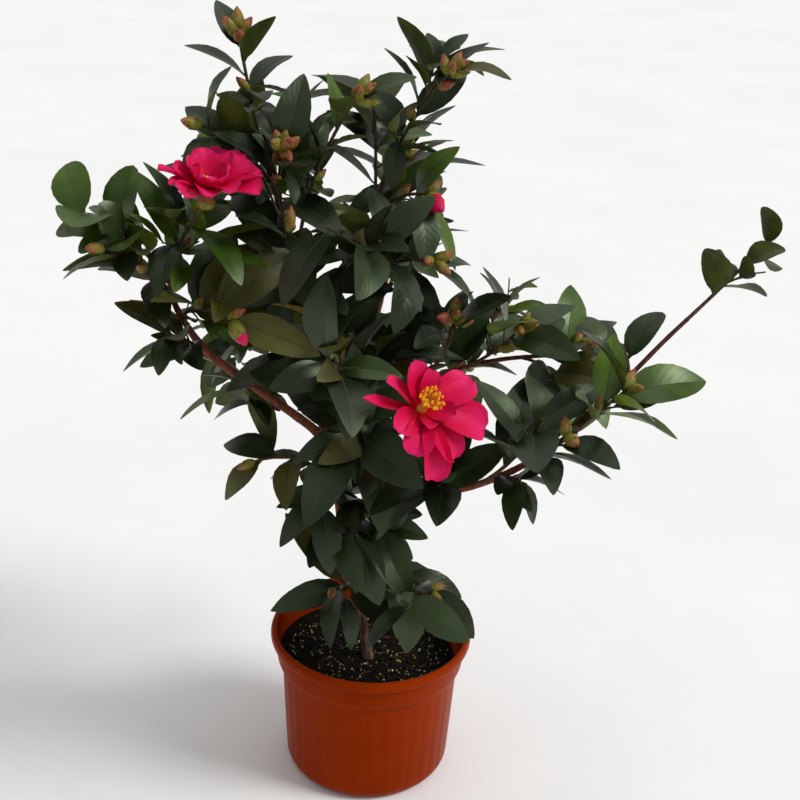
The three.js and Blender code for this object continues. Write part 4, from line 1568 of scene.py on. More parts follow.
class Wood:
    """Trunk and boughs: tapered rods with ridged bark, swollen rings and a collar at the foot."""

    SIDES = 20
    STEP = 2.2
    SUNK = 3.0
    TRUNK_SUNK = 4.0
    COLLAR = (0.55, 5.0)
    FLARE = (0.7, 9.0)
    RING_EVERY, RING_SWELL, RING_WIDTH = 17.0, 0.09, 1.6
    WAVES = ((2, 0.05, 0.035), (3, -0.11, 0.03), (5, 0.23, 0.025))
    FEWEST_POINTS = 12
    SOIL_TOP = 87.0
    YOUNG = ("long_shoot", "right_upper_bough", "rising_bough", "middle_bough")

    def radii(self, limb: Limb, along: Vec, length: float, chance: np.random.Generator) -> Vec:
        """The radius at each point and side.

        It runs evenly from the foot's to the tip's, grows towards the foot by a share that falls off
        with the distance, swells in short rings where old leaves sat, and varies round the limb with
        three waves that wind as they go.

        Args:
            limb: The limb.
            along: How far each point is from the foot.
            length: The limb's length.
            chance: The source of the waves' phases.

        Returns:
            A row of radii for each point.
        """
        share = along / length
        plain = limb.radii[0] + (limb.radii[1] - limb.radii[0]) * share
        if limb.name == "trunk":
            above = np.maximum(along - self.TRUNK_SUNK, 0)
            plain = plain + self.FLARE[0] * np.exp(-above / self.FLARE[1])
        else:
            plain = plain * (1 + self.COLLAR[0] * np.exp(-along / self.COLLAR[1]))
        offset = chance.uniform(0, self.RING_EVERY)
        distance = np.abs((along + offset) % self.RING_EVERY - self.RING_EVERY / 2)
        ring = self.RING_SWELL * np.exp(-((distance / self.RING_WIDTH) ** 2))
        turn = np.arange(self.SIDES) * math.tau / self.SIDES
        relief = np.zeros((len(along), self.SIDES))
        for waves, pace, height in self.WAVES:
            phase = chance.uniform(0, math.tau)
            relief += height * np.sin(waves * turn + pace * along[:, None] + phase)
        return plain[:, None] * (1 + ring[:, None] + relief)

    def path(self, limb: Limb, curve: Curve) -> Vec:
        """The limb's centre line: its curve in short steps, carried on into what bears its foot.

        Args:
            limb: The limb.
            curve: Its curve.

        Returns:
            A row for each point.
        """
        count = max(int(curve.length() / self.STEP), self.FEWEST_POINTS)
        line = curve.at(np.linspace(0, 1, count))
        if limb.name == "trunk":
            start = int(np.argmax(line[:, 2] > self.SOIL_TOP))
            root = line[start] - (line[start + 1] - line[start]) / self.STEP * self.TRUNK_SUNK
            return np.concatenate((root[None], line[start:]))
        root = line[0] - curve.tangent(0.0) * min(self.SUNK, limb.radii[0])
        return np.concatenate((root[None], line))

    def build(self, limb: Limb, curve: Curve) -> None:
        """Builds one limb as a piece of its own.

        Args:
            limb: The limb.
            curve: Its curve.
        """
        chance = np.random.default_rng(len(limb.name) * 97 + int(limb.radii[0] * 10))
        line = self.path(limb, curve)
        steps = np.linalg.norm(np.diff(line, axis=0), axis=1)
        along = np.concatenate(((0.0,), np.cumsum(steps)))
        radii = self.radii(limb, along, float(along[-1]), chance)
        bark = Sheaf([tube(line, radii, self.SIDES)])
        finish = SHOOT if limb.name in self.YOUNG else BARK
        bark.build(f"{limb.name}_bark", Slot.BARK, (limb.name,), (finish,))


class Twigs:
    """The stems of the sprays, their side twigs and the finest twigs."""

    STEM_SIDES, STEM_POINTS = 8, 14
    FINE_SIDES, FINE_POINTS = 5, 5
    FINE_RADII = (0.75, 0.5)
    SUNK = 0.8
    JOINT_SWELL, JOINT_EVERY = 0.1, 3

    def rod(self, curve: Curve, radii: Pair, sides: int, count: int) -> Patch:
        """A tapering rod along a curve, carried on a little into what bears it, with slight joints.

        Args:
            curve: The curve.
            radii: Its radius at the foot and the tip.
            sides: How many points a ring has.
            count: How many rings.

        Returns:
            The rod.
        """
        share = np.linspace(0, 1, count)
        line = curve.at(share)
        root = line[0] - curve.tangent(0.0) * self.SUNK
        thickness = radii[0] + (radii[1] - radii[0]) * share
        thickness = thickness * (1 + self.JOINT_SWELL * (np.arange(count) % self.JOINT_EVERY == 1))
        path = np.concatenate((root[None], line))
        return tube(path, np.concatenate((thickness[:1], thickness)), sides)

    def build(self, growths: list[Growth], fine_twigs: list[Curve]) -> None:
        """Builds every twig into two pieces.

        Args:
            growths: The sprays.
            fine_twigs: The finest twigs.
        """
        stem_radii = (STEM_RADIUS, STEM_TIP_RADIUS)
        twig_radii = (STEM_TIP_RADIUS, TWIG_SHARE * STEM_TIP_RADIUS)
        stems = []
        for growth in growths:
            stems.append(self.rod(growth.stem, stem_radii, self.STEM_SIDES, self.STEM_POINTS))
            for twig in growth.twigs:
                stems.append(self.rod(twig, twig_radii, self.STEM_SIDES, self.STEM_POINTS // 2))
        fine = [self.rod(twig, self.FINE_RADII, self.FINE_SIDES, self.FINE_POINTS) for twig in fine_twigs]
        Sheaf(stems).build("stems", Slot.BARK, SPRAY_NAMES, (TWIG,))
        Sheaf(fine).build("fine_twigs", Slot.BARK, SPRAY_NAMES, (GREEN_TWIG,))


class BudShape:
    """A winter bud: a pointed egg whose overlapping scales stand off a little at their rims.

    The radius rises as a quarter circle to the waist and falls as a cosine to the tip. On it the
    scales are a sawtooth along the bud that is shifted round it by a wave, so that each has a round tip.
    """

    ROWS, SIDES = 14, 12
    WAIST, TIP_END, TIP_POWER = 0.42, 1.02, 0.9
    LEAST_FOOT = 0.05
    SCALES, SCALE_WAVE = 3.6, 0.3
    STAND_OFF = 0.1
    SUNK = 0.4
    GREEN, TAN, ROSE, PETAL = range(4)
    GREEN_TO, TAN_TO = 0.58, 0.8
    SCALE_RIM, RIM_BLUSH, CALYX_BLUSH = 0.72, 0.3, 0.22
    RIPENESS = (-0.05, 0.13)

    def patch(self, bud: Bud, stage: BudStage, chance: np.random.Generator) -> Patch:
        """Makes one bud.

        Args:
            bud: Where it stands and its size.
            stage: How far it has opened.
            chance: The source of its differences.

        Returns:
            The bud, with slots for its green, tan and rose parts and its petals.
        """
        share = np.linspace(0.03, 0.97, self.ROWS)[:, None]
        turn = (np.arange(self.SIDES) * math.tau / self.SIDES)[None, :]
        low = np.sqrt(np.clip(1 - (1 - share / self.WAIST) ** 2, self.LEAST_FOOT, 1))
        past_waist = np.clip((share - self.WAIST) / (self.TIP_END - self.WAIST), 0, 1)
        high = np.cos(math.pi / 2 * past_waist) ** self.TIP_POWER
        egg = np.where(share < self.WAIST, low, high)
        wave = self.SCALE_WAVE * np.cos(3 * turn + 4 * share)
        row = share * self.SCALES + wave + chance.uniform()
        scale = row % 1
        length = BUD_LENGTH * bud.size * stage.value[0]
        radius = BUD_RADIUS * bud.size * stage.value[1]
        radii = radius * egg * (1 + self.STAND_OFF * (scale - 0.5))
        along = bud.direction
        side, up = (way[0] for way in square_ways(along[None]))
        around = np.cos(turn)[..., None] * side + np.sin(turn)[..., None] * up
        rings = bud.foot + (share * length)[..., None] * along + radii[..., None] * around
        slots = self.zones(share, scale, stage, chance)
        start, end = bud.foot - along * self.SUNK, bud.foot + along * length
        return skin(rings, start, end, slots)

    def zones(self, share: Vec, scale: Vec, stage: BudStage, chance: np.random.Generator) -> Vec:
        """The slot of each face: green low down, rosy at the tip and on scale rims, petals if open.

        Args:
            share: How far along the bud each ring lies.
            scale: Where each point lies on its scale, 1 at the rim.
            stage: How far the bud has opened.
            chance: The source of its ripeness.

        Returns:
            A slot for each row and column.
        """
        ripe = share + self.RIM_BLUSH * (scale > self.SCALE_RIM) + chance.normal(*self.RIPENESS)
        ripe = ripe + (self.CALYX_BLUSH if stage is BudStage.CALYX else 0.0)
        scales = np.where(ripe < self.TAN_TO, self.TAN, self.ROSE)
        slots = np.where(ripe < self.GREEN_TO, self.GREEN, scales)
        slots = np.where(share > stage.value[2], self.PETAL, slots)
        return np.concatenate((slots[:1], slots))


class Buds:
    """The winter buds at the stems' tips and along them."""

    def build(self, growths: list[Growth]) -> None:
        """Builds every bud into one piece.

        Args:
            growths: The sprays.
        """
        patches, shape = [], BudShape()
        chance = np.random.default_rng(77)
        for growth in growths:
            for index, bud in enumerate(growth.buds):
                stage = growth.spray.stage if index == 0 else BudStage.CLOSED
                patches.append(shape.patch(bud, stage, chance))
        Sheaf(patches).build("buds", Slot.LEAF, SPRAY_NAMES, BUD_FINISHES)


@dataclass(frozen=True)
class Petal:
    """A petal by its turn round the bloom, clockwise from above, and how far it opens, in degrees."""

    turn: float
    open: float
    length: float
    half_width: float
    ruffle: float
    bend: float = 24
    cup: float = 0.8
    twist: float = 0
    notch: float = 0.08


@dataclass(frozen=True)
class Bloom:
    """An open bloom: what bears it, its heart and facing, its petals, its stamens and how far they reach."""

    name: str
    on: str
    heart: Point
    facing: Point
    petals: tuple[Petal, ...]
    stamens: int
    head: float


# Each petal: turn, opening, length, half width and ruffle, then bend, cup, twist and notch
LEFT_PETALS = (
    Petal(-76, 62, 33, 5.5, 1.6, 30, 1.3, 24),
    Petal(-48, 58, 24, 8, 1.6, 10, 0.9),
    Petal(-18, 36, 23, 9, 1.6, -14, 0.8),
    Petal(14, 40, 27, 10, 1.8, -18, 0.7),
    Petal(48, 52, 30, 11, 1.8, 6, 0.7),
    Petal(80, 62, 33, 12.5, 2.2, 22, 0.7, 12),
    Petal(106, 70, 34, 14, 2.2, 34, 0.8, -10),
    Petal(136, 76, 33, 12, 2.0, 46, 0.9, 18),
    Petal(172, 66, 26, 12, 2.0, 62, 0.9),
    Petal(206, 70, 27, 12, 2.0, 66, 1.0),
    Petal(240, 74, 28, 11, 1.8, 52, 0.9, -14),
    Petal(268, 70, 26, 8, 1.6, 36, 1.0),
    Petal(150, 34, 19, 9, 1.4, -34, 0.9),
    Petal(214, 32, 18, 9, 1.4, -34, 1.0),
    Petal(92, 34, 20, 9, 1.4, -24, 0.9),
    Petal(310, 28, 18, 8, 1.4, -24, 1.0),
)
RIGHT_PETALS = (
    Petal(-72, 80, 40, 5.5, 1.4, -24, 1.3, 12),
    Petal(-50, 64, 31, 8, 1.6, 10, 0.9, 22),
    Petal(-8, 52, 29, 11, 1.8, 12, 0.7),
    Petal(26, 44, 24, 8, 1.6, 10, 0.9),
    Petal(80, 74, 37, 13.5, 2.0, 22, 0.7, -10),
    Petal(122, 90, 42, 16, 1.4, 38, 0.85, 6, 0.03),
    Petal(163, 100, 35, 14, 2.0, 46, 0.9),
    Petal(186, 112, 44, 13, 1.6, 74, 1.2, 0, 0.03),
    Petal(213, 96, 30, 12, 2.0, 56, 0.9, 10),
    Petal(248, 84, 25, 11, 1.8, 40, 0.9, -10),
    Petal(134, 50, 21, 10, 1.4, -26, 1.0),
    Petal(196, 58, 17, 8, 1.4, -16, 1.0),
)
BLOOMS = (
    Bloom("left_bloom", "left_bloom_spray", (-109, -58, 460), (0.12, -0.16, 0.98), LEFT_PETALS, 14, 8),
    Bloom("right_bloom", "front_bough", (27, -112, 346), (0.4, -0.55, 0.73), RIGHT_PETALS, 40, 16),
)


class PetalShape:
    """A petal as a thin closed skin.

    Its way leaves the bloom's facing by an angle that grows evenly from foot to tip, so the middle
    line is an arc. The half width grows from a narrow foot and rounds off at the tip, and the cross
    section is an arc whose ends rise to the inner side and ripple, with finer crumples near the tip.
    """

    ROWS, TOP, BELOW = 13, 9, 7
    THICKNESS = 0.45
    ROOT_OUT = 2.6
    FIRST, LAST = 0.02, 0.985
    FOOT, SWELL, SWELL_POWER, ROUND_POWER = 0.14, 1.26, 0.75, 4
    NOTCH_WIDTH, NOTCH_POWER = 0.22, 6
    FLAT_CUP = 1e-3
    RIPPLE_ALONG, RIPPLE_ACROSS = 5, 2.2
    CRUMPLE, CRUMPLE_ALONG, CRUMPLE_ACROSS = 0.35, 4, 6.5

    def outline(self, share: Vec) -> Vec:
        """The share of the half width: a power of the share times a root that closes the tip."""
        swell = self.SWELL * share**self.SWELL_POWER * np.sqrt(1 - share**self.ROUND_POWER)
        return self.FOOT * (1 - share) + swell

    def patch(self, petal: Petal, heart: Vec, frame: tuple[Vec, Vec, Vec], phase: float) -> Patch:
        """Makes one petal.

        Args:
            petal: Its turn, opening and sizes.
            heart: The bloom's middle.
            frame: The bloom's facing, its upper way and its right way.
            phase: Where its ripples start, in radians.

        Returns:
            The petal.
        """
        facing, upper, right = frame
        turn, opening, bend = (math.radians(a) for a in (petal.turn, petal.open, petal.bend))
        out = math.cos(turn) * upper + math.sin(turn) * right
        across = np.cross(facing, out)
        top = np.linspace(-1, 1, self.TOP)
        below = np.linspace(1, -1, self.BELOW + 2)[1:-1]
        x = np.concatenate((top, below))[None, :]
        inner = np.concatenate((np.zeros(self.TOP), np.ones(self.BELOW)))[None, :]
        s = np.linspace(self.FIRST, self.LAST, self.ROWS)[:, None]
        notch = np.exp(-((x / self.NOTCH_WIDTH) ** 2)) * s**self.NOTCH_POWER
        reach = s * (1 - petal.notch * notch)
        start = opening - bend / 2
        angle = start + bend * reach
        forward = petal.length * (np.sin(angle) - math.sin(start)) / bend
        outward = petal.length * (math.cos(start) - np.cos(angle)) / bend
        half = petal.half_width * self.outline(s)
        bow = petal.cup * (0.4 + 0.6 * s) + self.FLAT_CUP
        sideways = half * np.sin(bow * x) / bow
        rise = half * (1 - np.cos(bow * x)) / bow
        ripple = np.sin(self.RIPPLE_ALONG * s + self.RIPPLE_ACROSS * x + phase)
        crumple = np.sin(self.CRUMPLE_ACROSS * x + self.CRUMPLE_ALONG * s + 2 * phase)
        rise = rise + petal.ruffle * s**2 * x**2 * ripple
        rise = rise + self.CRUMPLE * petal.ruffle * s**3 * crumple
        rise = rise - inner * self.THICKNESS * np.sqrt(1 - x**2)
        swing = math.radians(petal.twist) * s
        along_side = sideways * np.cos(swing) - rise * np.sin(swing)
        along_rise = sideways * np.sin(swing) + rise * np.cos(swing)
        normal = np.sin(angle)[..., None] * facing - np.cos(angle)[..., None] * out
        root = heart + out * self.ROOT_OUT
        rings = (
            root
            + forward[..., None] * facing
            + outward[..., None] * out
            + along_side[..., None] * across
            + along_rise[..., None] * normal
        )
        coordinates = np.stack(np.broadcast_arrays(0.5 + 0.5 * x, s), axis=-1)
        slots = np.zeros((self.ROWS + 1, self.TOP + self.BELOW), int)
        start_point, end_point = rings[0].mean(axis=0), rings[-1].mean(axis=0)
        return skin(rings[:, ::-1], start_point, end_point, slots, coordinates[:, ::-1])


class Blooms:
    """The two open blooms: stalk, calyx of scales, petals and a head of stamens."""

    STALK_RADIUS, STALK_POINTS, STALK_SIDES, STALK_ENDS = 1.4, 10, 10, 6
    CALYX_BACK = 12.2
    FILAMENT_RADIUS = 0.28
    COLUMN_REACH = (-4.0, 4.2)
    COLUMN_RADII = (2.4, 2.9, 3.0, 2.7, 1.8)
    COLUMN_SIDES, FILAMENT_SIDES, ANTHER_SIDES = 14, 4, 6
    RING, RING_RANGE, RING_INNER = 0.36, 0.14, 0.16
    BEND, BEND_OUT = 0.6, 0.1
    FOOT_OUT = 1.1
    HEAD_RANGE, ANTHER_RANGE = (0.82, 1.08), (0.8, 1.2)
    LEAN_OUT, LEAN_UP = 0.6, 0.4
    ANTHER = (0.95, 1.3)
    ANTHER_SHARES = np.array((0.45, 0.85, 1.0, 0.85, 0.45))

    def frame(self, bloom: Bloom) -> tuple[Vec, Vec, Vec]:
        """The bloom's facing, its upper way and its right way as a viewer in front of it sees them."""
        facing = unit(np.array(bloom.facing))
        upper = unit(UP - facing * float(facing @ UP))
        return facing, upper, np.cross(upper, facing)

    def stamens(self, bloom: Bloom, chance: np.random.Generator) -> tuple[list[Patch], list[Patch]]:
        """A column at the heart, and filaments that spread from it into a ring with their anthers.

        Args:
            bloom: The bloom.
            chance: The source of the filaments' differences.

        Returns:
            The column with the filaments, and the anthers.
        """
        facing, upper, right = self.frame(bloom)
        heart = np.array(bloom.heart)
        radii = np.array(self.COLUMN_RADII)
        column = heart + np.linspace(*self.COLUMN_REACH, len(radii))[:, None] * facing
        filaments, anthers = [tube(column, radii, self.COLUMN_SIDES)], []
        for index in range(bloom.stamens):
            turn = math.radians(index * GOLDEN_TURN)
            out = math.cos(turn) * upper + math.sin(turn) * right
            ring = self.RING + self.RING_RANGE * chance.uniform() - self.RING_INNER * (index % 3 == 0)
            foot = heart + out * (self.FOOT_OUT + chance.uniform())
            rise = bloom.head * chance.uniform(*self.HEAD_RANGE)
            head = heart + facing * rise + out * bloom.head * ring
            bend = heart + facing * bloom.head * self.BEND + out * bloom.head * self.BEND_OUT
            line = Curve(foot, bend, head).at(np.linspace(0, 1, 5))
            thickness = np.full(len(line), self.FILAMENT_RADIUS)
            filaments.append(tube(line, thickness, self.FILAMENT_SIDES))
            lean = out * chance.normal(0, self.LEAN_OUT) + upper * chance.normal(0, self.LEAN_UP)
            tilt = unit(facing + lean)
            half, radius = self.ANTHER[1] * chance.uniform(*self.ANTHER_RANGE), self.ANTHER[0]
            spine = head + np.linspace(-1, 1, len(self.ANTHER_SHARES))[:, None] * half * tilt
            anthers.append(tube(spine, radius * self.ANTHER_SHARES, self.ANTHER_SIDES, 1))
        return filaments, anthers

    def build(self, growths: dict[str, Growth], limbs: dict[str, Curve]) -> None:
        """Builds both blooms into pieces of one kind each.

        Args:
            growths: The sprays by name.
            limbs: The limbs' curves by name.
        """
        petals, stamens, calyces, stalks = [], [], [], []
        chance = np.random.default_rng(5)
        shape, buds = PetalShape(), BudShape()
        for bloom in BLOOMS:
            frame, heart = self.frame(bloom), np.array(bloom.heart, float)
            facing = frame[0]
            for petal in bloom.petals:
                petals.append(shape.patch(petal, heart, frame, chance.uniform(0, math.tau)))
            for group in self.stamens(bloom, chance):
                stamens += group
            calyx = Bud(heart - facing * self.CALYX_BACK, facing, 1.0)
            calyces.append(buds.patch(calyx, BudStage.CALYX, chance))
            stem = growths[bloom.on].stem if bloom.on in growths else limbs[bloom.on]
            lead = stem.tangent(1.0)
            stalk = stem_curve(stem.at(1.0) - lead, lead, heart - facing * self.STALK_ENDS)
            path = stalk.at(np.linspace(0, 1, self.STALK_POINTS))
            stalks.append(tube(path, np.full(len(path), self.STALK_RADIUS), self.STALK_SIDES))
        nodes = [bloom.name for bloom in BLOOMS]
        kinds = (
            ("petals", petals, (PETAL,)),
            ("stamens", stamens, (FILAMENT, ANTHER)),
            ("calyces", calyces, BUD_FINISHES),
            ("bloom_stalks", stalks, (GREEN_TWIG,)),
        )
        for name, patches, finishes in kinds:
            Sheaf(patches).build(name, Slot.PETAL, nodes, finishes)


@dataclass(frozen=True)
class Pot:
    """The round nursery pot: a rolled lip, a groove, a collar with a step, and a fluted body."""

    rim_radius: float = 75
    height: float = 115
    lip_depth: float = 8.5
    neck_radius: float = 71.6
    collar_bottom: float = 90.3
    collar_radius: float = 69.8
    shoulder_radius: float = 66.4
    step_height: float = 89.9
    foot_radius: float = 62.2
    foot_round: float = 12
    floor_radius: float = 52
    wall: float = 1.8
    floor: float = 2.6
    groove: float = 0.8
    flutes: int = 36
    flute_depth: float = 0.32
    flute_power: float = 0.8
    foot_fade: Pair = (2.0, 13.0)
    shoulder_fade: Pair = (84.0, 88.0)
    wall_fade: Pair = (-1.2, -0.6)
    corner_cut: float = 1.4
    sides: int = 288

    def profile(self) -> Vec:
        """Rows of radius and height, from the underside's middle round the lip to the floor inside.

        Returns:
            The rows.
        """
        arc = np.radians(np.linspace(0, 90, 9))
        foot_radii = self.floor_radius + (self.foot_radius - self.floor_radius) * np.sin(arc)
        foot = np.column_stack((foot_radii, self.foot_round * (1 - np.cos(arc))))
        rim, neck, wall = self.rim_radius, self.neck_radius, self.wall
        collar, shoulder, base = self.collar_radius, self.shoulder_radius, self.foot_radius
        edge, top, lip = self.collar_bottom, self.height, self.height - self.lip_depth
        outside = rounded(
            (
                (base, self.foot_round),
                (shoulder - 0.6, edge - 10),
                (shoulder, edge - 1.6),
                (collar - 0.4, edge - 0.6),
                (collar + 0.2, edge + 2.4),
                (neck - self.groove, lip - 2.6),
                (neck - self.groove, lip - 0.4),
                (rim - 0.8, lip + 0.6),
                (rim, lip + 2.4),
                (rim, top - 2.2),
                (rim - 1.2, top),
                (rim - 3.6, top),
                (rim - 4.6, top - 1.7),
                (neck - wall, lip),
                (collar - wall, edge + 1.6),
                (shoulder - wall, self.step_height),
                (base - wall, self.foot_round),
                (self.floor_radius - wall, self.floor),
                (0, self.floor),
            ),
            self.corner_cut,
        )
        body = np.linspace(foot[-1], outside[1], 12)[1:-1]
        return np.concatenate((np.zeros((1, 2)), foot, body, outside[1:]))

    def flute(self, row: Vec, turn: Vec) -> Vec:
        """The flutes' relief: shallow hollows that run out at the foot and the shoulder.

        It is minus the depth, times a share for the height, times one for the outside, times what a
        power of a sine round the pot leaves of 1.

        Args:
            row: The profile's row numbers.
            turn: The turns round the pot, in radians.

        Returns:
            What is added to the radius.
        """
        radii, heights = self.profile()[1:-1].T[:, row]
        window = smooth(heights, *self.foot_fade) * (1 - smooth(heights, *self.shoulder_fade))
        outside = smooth(radii - self.outer_at(heights), *self.wall_fade)
        hollow = np.abs(np.sin(turn * self.flutes / 2)) ** self.flute_power
        return -self.flute_depth * window * outside * (1 - hollow)

    def outer_at(self, heights: Vec) -> Vec:
        """The body's outside radius at some heights."""
        share = (heights - self.foot_round) / (self.collar_bottom - self.foot_round)
        return self.foot_radius + (self.shoulder_radius - self.foot_radius) * share

    def build(self) -> None:
        """Builds the pot as one closed shell."""
        shell = Sheaf([revolved(self.profile(), self.sides, self.flute)])
        shell.build("nursery_pot", Slot.POT, ("pot",), (POT_PLASTIC,))


@dataclass(frozen=True)
class Soil:
    """Moist potting mix: a lumpy top, heaped to the left, with crumbs, perlite and granules on it."""

    top: float = 87
    edge: float = 63.6
    bottom: float = 3.0
    bottom_radius: float = 49.0
    wall_foot: Pair = (58.5, 12.0)
    edge_drop: float = 3.0
    lump: float = 0.385
    heap: float = 8.0
    heap_lean: float = 0.35
    heap_range: Pair = (22, 66)
    spread: float = 0.06
    waves: tuple[tuple[float, float, float, float], ...] = (
        (0.11, 0.06, 0.3, 1.0),
        (-0.07, 0.14, 1.9, 0.8),
        (0.31, 0.22, 4.0, 0.45),
        (-0.5, 0.43, 2.2, 0.35),
        (0.9, -0.7, 5.0, 0.22),
    )
    sides: int = 120
    rings: int = 34
    crumb_area: Pair = (0.012, 0.95)
    crumb_lift: Pair = (0.0, 0.45)
    crumb_rough: Pair = (0.75, 1.2)
    crumb_sides: int = 6
    strand_area: Pair = (0.02, 0.8)
    strand_length: Pair = (4, 11)
    strand_rough: Pair = (0.7, 1.4)

    def height(self, x: Vec, y: Vec) -> Vec:
        """The top's height: the level, a heap that rises to the left, and waves across each other."""
        total = sum(high * np.sin(a * x + b * y + c) for a, b, c, high in self.waves)
        heap = self.heap * smooth(self.heap_lean * y - x, *self.heap_range)
        return self.top + self.lump * total + heap

    def bed(self) -> Patch:
        """The mix as one closed body, with its lumpy top.

        Returns:
            The body.
        """
        turn = np.arange(self.sides) * math.tau / self.sides
        inward = np.linspace(self.edge, 1.5, self.rings)
        wall_radius, wall_height = self.wall_foot
        radii = np.concatenate(((self.bottom_radius, wall_radius, self.edge - 0.4), inward))
        x, y = radii[:, None] * np.cos(turn), radii[:, None] * np.sin(turn)
        level = self.height(x, y)
        spread = 1 + self.spread * smooth(level[3], self.top + 2, self.top + 6)
        x[3], y[3] = x[3] * spread, y[3] * spread
        level[:3] = np.array((self.bottom, wall_height, self.top - self.edge_drop))[:, None]
        rings = np.stack((x, y, level), axis=-1)
        slots = np.zeros((len(radii) + 1, self.sides), int)
        middle = float(self.height(np.zeros(1), np.zeros(1))[0])
        return skin(rings, np.array((0, 0, self.bottom)), np.array((0, 0, middle)), slots)

    def spot(self, within: Pair, chance: np.random.Generator) -> Vec:
        """A chance spot on the top, even over the share of its area that lies within two bounds."""
        turn, far = chance.uniform(0, math.tau), self.edge * math.sqrt(chance.uniform(*within))
        return np.array((far * math.cos(turn), far * math.sin(turn)))

    def crumbs(self, count: int, sizes: Pair, chance: np.random.Generator) -> list[Patch]:
        """Rough crumbs strewn over the top, each a short tube of three rings with uneven radii.

        Args:
            count: How many.
            sizes: The least and greatest radius.
            chance: The source of their places and shapes.

        Returns:
            The crumbs.
        """
        patches = []
        for _ in range(count):
            x, y = self.spot(self.crumb_area, chance)
            radius = chance.uniform(*sizes)
            z = float(self.height(x, y)) + radius * chance.uniform(*self.crumb_lift)
            way = unit(chance.normal(size=3))
            path = np.array((x, y, z)) + np.linspace(-0.75, 0.75, 3)[:, None] * radius * way
            rough = chance.uniform(*self.crumb_rough, (3, self.crumb_sides))
            radii = radius * np.array((0.6, 1.0, 0.6))[:, None] * rough
            patches.append(tube(path, radii, self.crumb_sides))
        return patches

    def strands(self, count: int, chance: np.random.Generator) -> list[Patch]:
        """Short bits of bark fibre that lie on the top.

        Args:
            count: How many.
            chance: The source of their places and shapes.

        Returns:
            The fibres.
        """
        patches = []
        for _ in range(count):
            middle = self.spot(self.strand_area, chance)
            way, length = chance.uniform(0, math.tau), chance.uniform(*self.strand_length)
            half = 0.5 * length * np.array((math.cos(way), math.sin(way)))
            flat = np.linspace(-1, 1, 5)[:, None] * half + middle
            z = self.height(flat[:, 0], flat[:, 1]) + 0.4 + 0.5 * np.array((0, 0.6, 1, 0.6, 0))
            radii = np.array((0.2, 0.35, 0.4, 0.35, 0.2)) * chance.uniform(*self.strand_rough)
            patches.append(tube(np.column_stack((flat, z)), radii, 5))
        return patches

    def build(self) -> None:
        """Builds the bed and what lies on it, a piece for each kind."""
        chance = np.random.default_rng(11)
        kinds = (
            ("soil_bed", [self.bed()], SOIL_MIX),
            ("peat_crumbs", self.crumbs(900, (0.5, 1.7), chance), PEAT),
            ("perlite_grains", self.crumbs(120, (0.45, 1.15), chance), PERLITE),
            ("feed_granules", self.crumbs(220, (0.45, 1.1), chance), GRANULE),
            ("bark_fibres", self.strands(60, chance), FIBRE),
        )
        for name, patches, finish in kinds:
            Sheaf(patches).build(name, Slot.SOIL, ("soil",), (finish,))


@dataclass(frozen=True)
class FarLight:
    """A wide soft light far away: the way to it, its strength and how wide it looks in degrees."""

    name: str
    way: Point
    strength: float
    width: float


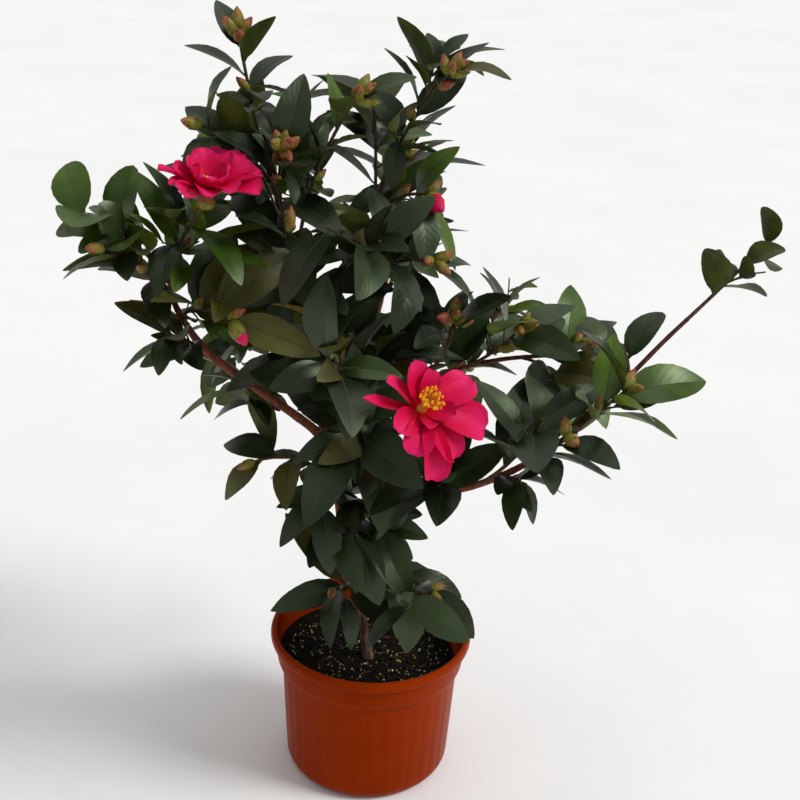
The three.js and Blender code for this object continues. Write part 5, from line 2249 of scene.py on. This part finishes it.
@dataclass(frozen=True)
class Studio:
    """A pale floor, wide soft lights, and the camera at the photograph's angle."""

    floor_half: float = 8.0
    sky: float = 0.42
    lights: tuple[FarLight, ...] = (
        FarLight("key_light", (1.1, -0.3, 1.05), 2.0, 22),
        FarLight("top_light", (0.1, 0.3, 1.0), 0.55, 60),
    )
    eye: Point = (0.014, -0.85, 0.68)
    pitch: float = 24
    roll: float = 2.6
    lens: float = 60.2
    sensor: float = 36

    def build_floor(self) -> None:
        """Lays the floor as a square with its finish."""
        half = self.floor_half
        corners = [(-half, -half, 0), (half, -half, 0), (half, half, 0), (-half, half, 0)]
        mesh = bpy.data.meshes.new("floor")
        mesh.from_pydata(corners, [], [(0, 1, 2, 3)])
        mesh.materials.append(material(FLOOR))
        floor = bpy.data.objects.new("floor", mesh)
        bpy.context.scene.collection.objects.link(floor)

    def build_lights(self) -> None:
        """Hangs the lights, each one turned to the plant, and lights the room evenly."""
        scene = bpy.context.scene
        for far in self.lights:
            light = bpy.data.lights.new(far.name, "SUN")
            light.energy = far.strength
            light.angle = math.radians(far.width)
            lamp = bpy.data.objects.new(far.name, light)
            lamp.rotation_euler = Vector(far.way).to_track_quat("Z", "Y").to_euler()
            scene.collection.objects.link(lamp)
        world = bpy.data.worlds.new("room")
        world.use_nodes = True
        background = world.node_tree.nodes["Background"]
        background.inputs["Color"].default_value = (1, 1, 1, 1)
        background.inputs["Strength"].default_value = self.sky
        scene.world = world
        scene.view_settings.view_transform = "Standard"

    def build_camera(self) -> None:
        """Places the camera: it looks down by the pitch and is rolled a little."""
        pitch, roll = math.radians(self.pitch), math.radians(self.roll)
        right = Vector((1, 0, 0))
        up = Vector((0, math.sin(pitch), math.cos(pitch)))
        forward = Vector((0, math.cos(pitch), -math.sin(pitch)))
        rolled_right = math.cos(roll) * right + math.sin(roll) * up
        rolled_up = math.cos(roll) * up - math.sin(roll) * right
        turn = Matrix((rolled_right, rolled_up, -forward)).transposed()
        data = bpy.data.cameras.new("camera")
        data.lens = self.lens
        data.sensor_width = self.sensor
        camera = bpy.data.objects.new("camera", data)
        camera.matrix_world = Matrix.Translation(Vector(self.eye)) @ turn.to_4x4()
        bpy.context.scene.collection.objects.link(camera)
        bpy.context.scene.camera = camera

    def build(self) -> None:
        """Builds the floor, the lights and the camera."""
        self.build_floor()
        self.build_lights()
        self.build_camera()
        LOG.info("studio: %d lights", len(self.lights))


def main() -> None:
    """Builds the plant in its pot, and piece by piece."""
    logging.basicConfig(level=logging.INFO, format="%(name)s: %(message)s", force=True)
    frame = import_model()
    limbs = {limb.name: Curve(*limb.points) for limb in LIMBS}
    grower = Grower()
    growths = [grower.grow(spray, limbs[spray.on]) for spray in SPRAYS]
    packed = Packed({spray.name: frame["nodes"][spray.name] for spray in SPRAYS})
    foliage = Foliage(growths, packed, grower)
    wood = Wood()
    for limb in LIMBS:
        wood.build(limb, limbs[limb.name])
    Twigs().build(growths, foliage.fine_twigs)
    foliage.build()
    Buds().build(growths)
    Blooms().build({growth.spray.name: growth for growth in growths}, limbs)
    Pot().build()
    Soil().build()
    Studio().build()


if __name__ == "__main__":
    main()
